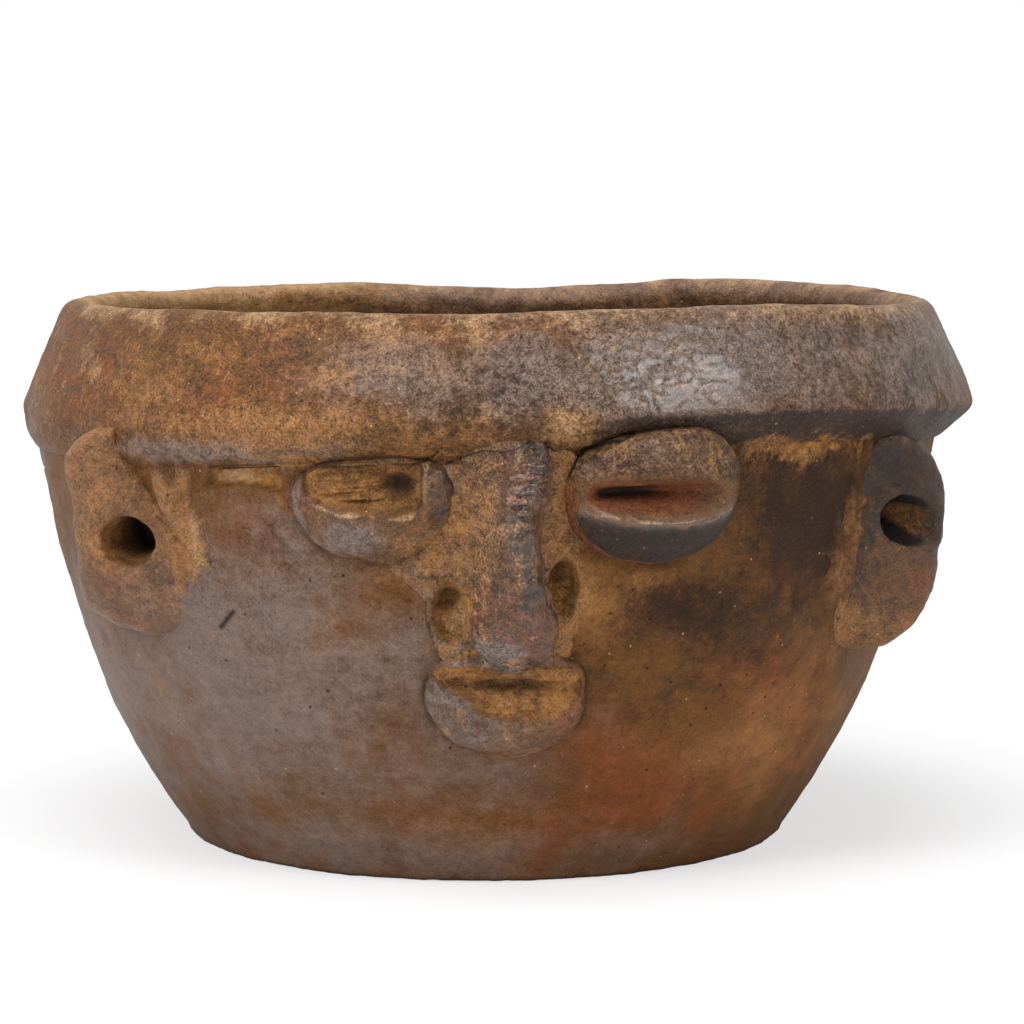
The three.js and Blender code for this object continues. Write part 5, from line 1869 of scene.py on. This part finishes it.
class NoseBed:
    """The thin bed of clay under the nose, with the two nostrils."""

    # How it is pressed on, its ragged border and its skin's size and unevenness
    PRESS = {"squareness": 2.2, "sink": 0.6, "depth": 6, "tall": 0.15}
    RAGGED = 0.07
    SKIN = (3, 0.2)
    # Its flare to the left, beside the eye
    FLARE = (0.4, 0, -9)
    FLARE_FROM = (-7, 1)
    FLARE_TO = (4, -1)
    # Where it thins out: on the right, and at the bottom from the left nostril on; a slanted ripple; nostrils
    RIGHT_LESS = (0.6, 8, 14)
    BOTTOM_LESS = (0.9, -11, -17)
    BOTTOM_FROM = (-9, -3)
    RIPPLE = (0.25, 0.3, 0.5)
    NOSTRIL_DEPTH = 4.2

    # Masks: pale clay, more on the right; earth; their change by noise; grey at the bottom left; plain ones
    WANDER_SIZE = 4
    TAN = 0.5
    TAN_RIGHT = (0.4, 5, 9)
    TAN_CHANGE = 0.3
    EARTH = 0.1
    EARTH_CHANGE = 0.4
    GREY = 0.5
    GREY_BOTTOM = (0.3, -10, -15)
    GREY_LEFT = (-2, -6)
    PLAIN = {"smoke": 0.22, "red": 0.1, "gloss": 0.2, "grain": 0.55}
    WEIGHT_LESS = (0.4, 10, 14)
    # The shaded part of a nostril: its shift across, and its shift up and height as shares of the nostril's
    SHADED_ACROSS = -0.9
    SHADED_UP = 0.35
    SHADED_TALL = 0.6
    # Painted shade on the pits' shaded part, and painted light with worn clay on the rest
    PIT_SHADE = (0.56, 0.3, 0.9)
    SHADED = (0.15, 0.85)
    PIT_LIGHT = (0.7, -0.3, 0.5)
    PIT_LIGHT_CLEAR = (0.2, 0.8)

    def make(self, context):
        thick = context.scene.face_sizes.nose_bed / MM
        plain = filling(BED_OUTLINE, self.RAGGED)

        def spread(share, turn):
            across, up = plain(share, turn)
            flare = step(across, self.FLARE) * ease(up, *self.FLARE_FROM) * ease(up, *self.FLARE_TO)
            return across * (1 + flare), up

        def top(across, up):
            fade = 1 - step(across, self.RIGHT_LESS)
            fade = fade - step(up, self.BOTTOM_LESS) * ease(across, *self.BOTTOM_FROM)
            amount, by_across, by_up = self.RIPPLE
            ripple = amount * np.sin(by_up * up + by_across * across)
            return thick * fade + ripple - self.NOSTRIL_DEPTH * nostril(across, up)

        sheet = pressed_on(seat_at(context, BED_SEAT), spread, stand=thick, top=top, **self.PRESS)
        sheet = roughened(sheet, *self.SKIN)
        across, up = sheet.across, sheet.up
        wander = layered(sheet.points, self.WANDER_SIZE, EDGE_SEED)
        pit = nostril(across, up)
        own = {
            "tan": share_of(self.TAN + step(across, self.TAN_RIGHT) + self.TAN_CHANGE * wander),
            "ochre": share_of(self.EARTH + self.EARTH_CHANGE * wander),
            "grey": self.GREY + step(up, self.GREY_BOTTOM) * ease(across, *self.GREY_LEFT),
            **self.PLAIN,
        }
        masks = blended(firing(sheet.points), own, 1 - step(across, self.WEIGHT_LESS))
        shaded = 0
        for middle, level, wide, tall in NOSTRILS:
            place = (middle + self.SHADED_ACROSS, level + self.SHADED_UP * tall)
            shaded = shaded + dab(across, up, (*place, wide, self.SHADED_TALL * tall, 1))
        over(masks, "ochre", pit)
        # Painted shade in the nostrils' shaded part and painted light on the rest
        over(masks, "crack", step(pit, self.PIT_SHADE) * ease(shaded, *self.SHADED))
        over(masks, "worn", pit * step(wander, self.PIT_LIGHT) * (1 - ease(shaded, *self.PIT_LIGHT_CLEAR)))
        faded(masks, ("smoke", "grey", "red"), 1 - pit)
        put(context, "nose_bed", sheet.points, masks, "smeared", ("nose_pad",))


class NoseStrip:
    """The nose: a strip of clay, full at the top and at the tip."""

    # How it is pressed on, how far the collar carries it, and its skin's size and unevenness
    PRESS = {"squareness": 2.1, "tall": 0.9}
    CARRIED = 0.85
    SKIN = (2.6, 0.32)
    HALF_LENGTH = 18.9
    # Half its width at the waist, and more at the top and at the tip
    WAIST = 6.5
    TOP_WIDER = (3.2, 5, 17)
    TIP_WIDER = (2.6, -14, 6)
    # Its middle line: place at the tip, run to the left further up, and bow
    TIP_ACROSS = 1.4
    RUN = (1.7, -16, 6)
    BOW = (0.8, 2, 7)
    # Its profile: falls above the tip and to the top, flank on the left, ridge on the right
    TIP_FALL = (1.8, -11, 3)
    TOP_FALL = (2.6, 7, 18)
    FLANK = (0.68, 0.2, -0.9)
    FLANK_LEVELS = (-13, -4)
    RIDGE = (0.5, 0.35, 0.35)
    RIDGE_LEVELS = (-14, -6)
    # Fine folds across the ridge: from one to the next, how they stand out, how noise bends and breaks them
    FOLD = 1.7
    FOLDS = (0.4, 0.4, 0.4)
    FOLD_LEVELS = (-10, -4)
    FOLD_BEND = 2.2
    FOLD_BEND_SIZE = 3
    FOLD_STRETCH = (0.4, 1, 1)
    FOLD_GAP_SIZE = 2.5
    FOLD_GAPS = (-0.5, 0.4)

    # Parts that the masks follow, by share of the width aside and by height
    WANDER_SIZE = 3
    RIDGE_MASK = (1, 0.45, 0.42)
    RIDGE_MASK_LEVELS = (-12, -5)
    TIP = (-9, -14)
    FLANK_MASK = (-0.1, -0.5)
    WIPED = (0.15, -0.4)
    WIPED_LEVELS = (-8, -1)
    WAIST_MASK = (0.6, -1, 6.5)
    WAIST_ASIDE = (-0.6, -0.95)
    # Smoke on the ridge and on the lower right; red clay; less of both where wiped; their change by noise
    SMOKE = 0.04
    RIDGE_SMOKE = 0.55
    RIGHT_SMOKE = (0.5, 0.6, 0.9)
    RIGHT_SMOKE_LEVELS = (2, -6)
    SMOKE_CHANGE = 0.4
    RED = 0.5
    RED_CHANGE = 0.3
    WIPED_LESS = 0.5
    # Pale clay at the waist, where wiped and in patches; grey on and above the tip; worn clay and painted
    # sheen; border earth
    WAIST_TAN = 0.7
    WIPED_TAN = 0.55
    PATCH_TAN = (0.4, -0.1, 0.6)
    TIP_GREY = 0.9
    TIP_GREY_ASIDE = (0.45, -0.05)
    TIP_GREY_LEVELS = (-10, -15)
    PLAIN_GREY = 0.2
    WORN = (0.4, 0.1, 0.4)
    WORN_GAPS = (0, 0.7)
    BORDER_EARTH = (0.3, 1, 0.04)
    # Gloss, more on ridge and tip, less where wiped; and grain
    GLOSS = 0.45
    RIDGE_GLOSS = 0.6
    TIP_GLOSS = 0.2
    WIPED_DULL = 0.3
    GRAIN = 0.75
    UPPER_GRAIN = (0.25, -14, -8)

    def width(self, up):
        """Half the nose's width by height: full at the top, narrow at the waist, full at the tip."""
        return self.WAIST + step(up, self.TOP_WIDER) + hump(up, self.TIP_WIDER)

    def middle(self, up):
        """Where the nose's middle line lies by height."""
        return self.TIP_ACROSS - step(up, self.RUN) - hump(up, self.BOW)

    def aside(self, across, up):
        """How far beside the middle line a point lies, as a share of half the width."""
        return (across - self.middle(up)) / self.width(up)

    def make(self, context):
        stand = context.scene.face_sizes.nose / MM

        def spread(share, turn):
            up = self.HALF_LENGTH * share * NOSE_OUTLINE(turn) * np.sin(turn)
            return self.middle(up) + self.width(up) * share * NOSE_OUTLINE(turn) * np.cos(turn), up

        def top(across, up):
            aside = self.aside(across, up)
            crest = stand - step(up, self.TIP_FALL) - step(up, self.TOP_FALL)
            slack = 1 - step(aside, self.FLANK) * ease(up, *self.FLANK_LEVELS)
            ridge = hump(aside, self.RIDGE) * ease(up, *self.RIDGE_LEVELS)
            place = plane(across, up)
            bend = self.FOLD_BEND * layered(place * self.FOLD_STRETCH, self.FOLD_BEND_SIZE, STREAK_SEED)
            folds = np.sin(2 * pi * up / self.FOLD + bend)
            folds = folds * hump(aside, self.FOLDS) * ease(up, *self.FOLD_LEVELS)
            folds = folds * ease(noise(place, self.FOLD_GAP_SIZE, EDGE_SEED), *self.FOLD_GAPS)
            return crest * slack + ridge + folds

        def lift(across, up):
            return self.CARRIED

        seat = seat_at(context, NOSE_SEAT)
        sheet = roughened(pressed_on(seat, spread, stand=stand, top=top, lift=lift, **self.PRESS), *self.SKIN)
        up = sheet.up
        aside = self.aside(sheet.across, up)
        wander = layered(sheet.points, self.WANDER_SIZE, EDGE_SEED)
        ridge = hump(aside, self.RIDGE_MASK) * ease(up, *self.RIDGE_MASK_LEVELS)
        tip = ease(up, *self.TIP)
        wiped = ease(aside, *self.WIPED) * ease(up, *self.WIPED_LEVELS)
        waist = hump(up, self.WAIST_MASK) * ease(aside, *self.WAIST_ASIDE)
        unwiped = 1 - self.WIPED_LESS * wiped
        smoke = self.RIDGE_SMOKE * ridge + step(aside, self.RIGHT_SMOKE) * ease(up, *self.RIGHT_SMOKE_LEVELS)
        smoke = share_of(smoke + self.SMOKE + self.SMOKE_CHANGE * wander)
        red = self.RED * (1 - tip * ease(aside, *self.FLANK_MASK)) * (1 - waist)
        tan = self.WAIST_TAN * waist + self.WIPED_TAN * wiped + step(wander, self.PATCH_TAN)
        grey = self.TIP_GREY * tip * ease(aside, *self.TIP_GREY_ASIDE) * ease(up, *self.TIP_GREY_LEVELS)
        gloss = self.GLOSS + self.RIDGE_GLOSS * ridge + self.TIP_GLOSS * tip - self.WIPED_DULL * wiped
        own = {
            "smoke": smoke * (1 - waist) * unwiped,
            "red": share_of(red + self.RED_CHANGE * wander) * unwiped,
            "tan": share_of(tan),
            "grey": share_of(grey + self.PLAIN_GREY * (1 - tip)),
            # Worn clay along the nose's middle, partly a painted sheen
            "worn": hump(aside, self.WORN) * ease(wander, *self.WORN_GAPS),
            "ochre": hump(sheet.share, self.BORDER_EARTH) * (1 - waist),
            "gloss": share_of(gloss),
            "grain": self.GRAIN + step(up, self.UPPER_GRAIN),
        }
        masks = {**firing(sheet.points), **own}
        put(context, "nose_strip", sheet.points, masks, "nose", ("nose",))


class FACE_POT_OT_nose(bpy.types.Operator):
    """Makes the nose strip and the thin bed of clay under it, with its nostrils"""

    bl_idname = "face_pot.nose"
    bl_label = "Nose"

    def execute(self, context):
        NoseBed().make(context)
        NoseStrip().make(context)
        return {"FINISHED"}


class FACE_POT_OT_mouth(bpy.types.Operator):
    """Makes the mouth pellet with its scooped slot"""

    bl_idname = "face_pot.mouth"
    bl_label = "Mouth"

    # How it is pressed on, its ragged border and its skin's size and unevenness
    SQUARENESS = 1.8
    RAGGED = 0.03
    SKIN = (2.4, 0.26)
    # The slot's top, which falls on the right, its lower edge as places across and up, and how softly it ends
    SLOT_TOP = 5.8
    SLOT_TOP_FALL = (1.1, 7, 13)
    SLOT_ACROSS = (-12.9, -12.3, -10.3, -7.8, -5.7, -2, 2, 6.7, 10, 12, 13.3)
    SLOT_LOW = (4.6, 3.6, 1.5, 0.2, -1.4, -3.4, -4.3, -4.3, -3.2, -1, 4)
    SOFT_TOP = (0.2, -0.7)
    SOFT_LOW = -0.2
    SOFT_LOW_END = 0.8
    SOFT_LOW_MORE = (1.6, -7, 2)
    SOFT_LEFT = (0, 0.9)
    SOFT_RIGHT = (0, -1.2)
    # The slot's floor: its height, its rises upwards and downwards, its deepest line, strokes along it
    FLOOR = 1.2
    FLOOR_UP = (1.2, 0.8, 5.8)
    FLOOR_DOWN = (3.2, 0.8, -4.2)
    DEEPEST = (0.3, 0.8, 9, 1.6, 1)
    DEEPEST_DEPTH = 1.8
    STROKES = 0.3
    STROKE_SIZE = 1.8
    STROKE_STRETCH = (0.3, 1.6)
    # The pellet's right side, which falls back
    SLACK = (0.3, 6, 13)
    SLACK_LEVELS = (2, -6)

    # Masks of the lips, by noise and place across, and their weight against the pot's own
    WANDER_SIZE = 3
    WEIGHT = (0.9, 1, 0.88)
    GREY = 0.5
    GREY_CHANGE = 0.4
    GREY_LESS = (0.5, -6, 2)
    GREY_TO = (9, 3)
    RED = (0.6, 5, 10)
    SMOKE = (0.4, 6, 11)
    SMOKE_GAPS = (-0.3, 0.4)
    TAN = (0.45, -0.1, 0.6)
    TAN_RIGHT = (0.3, -4, 4)
    GLOSS = 0.5
    # Earth in the crevice at the upper left and below, red clay along the lower border
    CREVICE = (1, 0.98, 0.05)
    CREVICE_UPPER = (5, 8)
    CREVICE_LEFT = (-1, -4)
    CREVICE_LOWER = (0.35, -6, -9)
    BORDER_RED = (0.8, 0.97, 0.05)
    BORDER_RED_LEVELS = (-7, -9)
    # Shade in the deepest line, under the slot's top and along the left of its lower edge
    DEEP_SHADE = (0.52, 0.1, 0.75)
    TOP_SHADE = (0.35, 0, 0.5)
    EDGE_SHADE = (0.45, -0.1, 0.35)
    EDGE_LEFT = (2, -3)
    EDGE_GAPS = (-0.5, 0.3)
    EDGE_SPAN = (0, 12, 10)
    # Worn clay on the slot's lower slope; grain
    WORN = (0.4, -0.2, 0.5)
    WORN_LEVELS = (0.4, -1.2)
    GRAIN = 0.5
    SLOT_GRAIN_LESS = 0.3

    def above_low(self, across, up):
        """How far above the slot's lower edge a point lies."""
        return up - np.interp(across, self.SLOT_ACROSS, self.SLOT_LOW)

    def slot(self, across, up):
        """How far inside the slot a point lies: below its straight top and above its curved lower edge."""
        above_top = up - self.SLOT_TOP + step(across, self.SLOT_TOP_FALL)
        soft = self.SOFT_LOW_END + step(across, self.SOFT_LOW_MORE)
        inside = ease(above_top, *self.SOFT_TOP) * ease(self.above_low(across, up), self.SOFT_LOW, soft)
        inside = inside * ease(across - self.SLOT_ACROSS[0], *self.SOFT_LEFT)
        return inside * ease(across - self.SLOT_ACROSS[-1], *self.SOFT_RIGHT)

    def execute(self, context):
        stand = context.scene.face_sizes.mouth / MM

        def top(across, up):
            slot = self.slot(across, up)
            by_across, by_up = self.STROKE_STRETCH
            strokes = layered(plane(across * by_across, up * by_up), self.STROKE_SIZE, STREAK_SEED)
            floor = self.FLOOR + step(up, self.FLOOR_UP) - self.DEEPEST_DEPTH * dab(across, up, self.DEEPEST)
            floor = floor + step(up, self.FLOOR_DOWN) + self.STROKES * strokes
            slack = 1 - step(across, self.SLACK) * ease(up, *self.SLACK_LEVELS)
            return stand * slack * (1 - slot) + floor * slot

        spread = filling(MOUTH_OUTLINE, self.RAGGED)
        sheet = pressed_on(seat_at(context, MOUTH_SEAT), spread, self.SQUARENESS, stand, top)
        sheet = roughened(sheet, *self.SKIN)
        across, up = sheet.across, sheet.up
        slot = self.slot(across, up)
        wander = layered(sheet.points, self.WANDER_SIZE, EDGE_SEED)
        grey = share_of(self.GREY + self.GREY_CHANGE * wander) * (1 - step(across, self.GREY_LESS))
        own = {
            "grey": grey * ease(across, *self.GREY_TO),
            "red": step(across, self.RED),
            "smoke": step(across, self.SMOKE) * ease(wander, *self.SMOKE_GAPS),
            "tan": step(wander + step(across, self.TAN_RIGHT), self.TAN),
            "gloss": self.GLOSS,
        }
        masks = blended(firing(sheet.points), own, step(sheet.share, self.WEIGHT))
        faded(masks, own, 1 - slot)
        upper_left = ease(up, *self.CREVICE_UPPER) * ease(across, *self.CREVICE_LEFT)
        crevice = np.maximum(upper_left, step(up, self.CREVICE_LOWER))
        over(masks, "ochre", slot, hump(sheet.share, self.CREVICE) * crevice)
        over(masks, "red", hump(sheet.share, self.BORDER_RED) * ease(up, *self.BORDER_RED_LEVELS))
        over(masks, "crack", slot * step(dab(across, up, self.DEEPEST), self.DEEP_SHADE))
        over(masks, "crack", slot * hump(up - self.SLOT_TOP, self.TOP_SHADE))
        edge = hump(self.above_low(across, up), self.EDGE_SHADE) * ease(across, *self.EDGE_LEFT)
        over(masks, "crack", edge * ease(wander, *self.EDGE_GAPS) * within(across, self.EDGE_SPAN))
        masks["worn"] = slot * ease(up, *self.WORN_LEVELS) * step(wander, self.WORN)
        masks["grain"] = self.GRAIN - self.SLOT_GRAIN_LESS * slot
        put(context, "mouth_pellet", sheet.points, masks, "applied", ("mouth",))
        return {"FINISHED"}


class FACE_POT_OT_stage(bpy.types.Operator):
    """Makes the floor, the light and the camera"""

    bl_idname = "face_pot.stage"
    bl_label = "Stage"

    WHITE = (1, 1, 1, 1)
    # The floor: half its side, its own light near the pot and further away, in metres
    FLOOR_HALF = 3.0
    FLOOR_OWN_LIGHT = 0.55
    FLOOR_FADE = (0.06, 0.24)
    FLOOR_SHINE = 1.08
    # The camera, in millimetres
    CAMERA_PLACE = (5.1, -631, 123.7)
    CAMERA_PITCH = radians(90 - 5.8)
    SENSOR = 36
    # The soft lights: place and side in metres; and the height they look at
    LAMPS = {
        "top": ((-0.1, -0.25, 1.15), 0.8),
        "key": ((-0.75, -0.8, 0.85), 0.45),
        "fill": ((0.78, -0.68, 0.7), 0.42),
    }
    LAMP_AIM = 0.05
    # What reflections see: from dim in front to white behind, and the directions along Y between them
    ROOM_DIM = 0.12
    ROOM_BEHIND = (-0.75, 0.35)

    def floor(self, context):
        """A flat square that shines partly by itself, so that it is seen white with the pot's shadow."""
        side = np.array((-self.FLOOR_HALF, self.FLOOR_HALF))
        across, along = np.meshgrid(side, side)
        mesh = bpy.data.meshes.new("floor")
        mesh.from_pydata(plane(across, along).reshape(-1, 3).tolist(), [], [(0, 1, 3, 2)])
        made = bpy.data.materials.new("floor_white")
        made.use_nodes = True
        made.node_tree.nodes.clear()
        start = Wire(made.node_tree)
        plain = start.node("ShaderNodeBsdfDiffuse", {}, {"Color": solid(context.scene.stage_look.floor)})
        shine = start.node("ShaderNodeEmission", {}, {"Color": self.WHITE, "Strength": self.FLOOR_SHINE})
        seen = start.node("ShaderNodeLightPath", {}, {}, "Is Camera Ray")
        place = start.node("ShaderNodeTexCoord", {}, {}, "Object")
        away = start.vector("LENGTH", {0: place}, "Value").ease(*self.FLOOR_FADE)
        own = away.lift(self.FLOOR_OWN_LIGHT, 1 - self.FLOOR_OWN_LIGHT)
        mixed = start.node("ShaderNodeMixShader", {}, {0: seen * own, 1: plain, 2: shine})
        start.node("ShaderNodeOutputMaterial", {}, {"Surface": mixed})
        mesh.materials.append(made)
        floor = bpy.data.objects.new("floor", mesh)
        context.scene.collection.objects.link(floor)

    def world(self, context):
        """White to the camera. Reflections see white behind and beside the pot and a dimmer room in front."""
        world = bpy.data.worlds.new("studio")
        world.use_nodes = True
        world.node_tree.nodes.clear()
        context.scene.world = world
        start = Wire(world.node_tree)
        toward = start.node("ShaderNodeTexCoord", {}, {}, "Generated")
        behind = start.node("ShaderNodeSeparateXYZ", {}, {0: toward}, "Y").ease(*self.ROOM_BEHIND)
        names = ("Is Camera Ray", "Is Glossy Ray", "Is Transmission Ray")
        camera, glossy, through = (start.node("ShaderNodeLightPath", {}, {}, name) for name in names)
        reflected = (glossy + through) * behind.lift(self.ROOM_DIM, 1 - self.ROOM_DIM)
        plain = (1 - camera - glossy - through) * context.scene.stage_look.sky
        sockets = {"Color": self.WHITE, "Strength": camera + reflected + plain}
        sky = start.node("ShaderNodeBackground", {}, sockets)
        start.node("ShaderNodeOutputWorld", {}, {"Surface": sky})

    def lamp(self, context, name, place, size, power):
        """A square soft light that looks at the middle of the pot."""
        light = bpy.data.lights.new(name, "AREA")
        light.shape = "SQUARE"
        light.size = size
        light.energy = power
        lamp = bpy.data.objects.new(name, light)
        lamp.location = place
        away = lamp.location.copy()
        away.z -= self.LAMP_AIM
        lamp.rotation_euler = away.to_track_quat("Z", "Y").to_euler()
        context.scene.collection.objects.link(lamp)

    def execute(self, context):
        look = context.scene.stage_look
        self.floor(context)
        self.world(context)
        for key, (place, size) in self.LAMPS.items():
            self.lamp(context, f"{key}_light", place, size, getattr(look, key))
        camera = bpy.data.cameras.new("camera")
        camera.sensor_width = self.SENSOR
        camera.lens = look.lens
        holder = bpy.data.objects.new("camera", camera)
        holder.location = [value * MM for value in self.CAMERA_PLACE]
        holder.rotation_euler = (self.CAMERA_PITCH, 0, 0)
        context.scene.collection.objects.link(holder)
        context.scene.camera = holder
        context.scene.view_settings.view_transform = "Standard"
        return {"FINISHED"}


class FACE_POT_PT_panel(bpy.types.Panel):
    """Lists the pieces of the face pot and the values they are made from"""

    bl_idname = "FACE_POT_PT_panel"
    bl_label = "Face pot"
    bl_space_type = "VIEW_3D"
    bl_region_type = "UI"
    bl_category = "Face pot"

    def draw(self, context):
        for key in GROUPS:
            group = getattr(context.scene, key)
            box = self.layout.box()
            for name in group.__annotations__:
                box.prop(group, name)
        for operator in OPERATORS:
            self.layout.operator(operator.bl_idname)


GROUPS = {
    "bowl_sizes": BowlSizes, "face_sizes": FaceSizes, "clay_colours": ClayColours, "stage_look": StageLook,
}
OPERATORS = (
    FACE_POT_OT_wall, FACE_POT_OT_collar, FACE_POT_OT_ears, FACE_POT_OT_ear_smears, FACE_POT_OT_eyes,
    FACE_POT_OT_nose, FACE_POT_OT_mouth, FACE_POT_OT_stage,
)


def register():
    for key, group in GROUPS.items():
        bpy.utils.register_class(group)
        setattr(bpy.types.Scene, key, PointerProperty(type=group))
    for made in (*OPERATORS, FACE_POT_PT_panel):
        bpy.utils.register_class(made)


def unregister():
    for made in (FACE_POT_PT_panel, *reversed(OPERATORS)):
        bpy.utils.unregister_class(made)
    for key, group in reversed(GROUPS.items()):
        delattr(bpy.types.Scene, key)
        bpy.utils.unregister_class(group)


def main():
    """Makes all pieces and the stage."""
    register()
    bpy.ops.face_pot.wall()
    bpy.ops.face_pot.collar()
    bpy.ops.face_pot.ears()
    bpy.ops.face_pot.ear_smears()
    bpy.ops.face_pot.eyes()
    bpy.ops.face_pot.nose()
    bpy.ops.face_pot.mouth()
    bpy.ops.face_pot.stage()


if __name__ == "__main__":
    main()
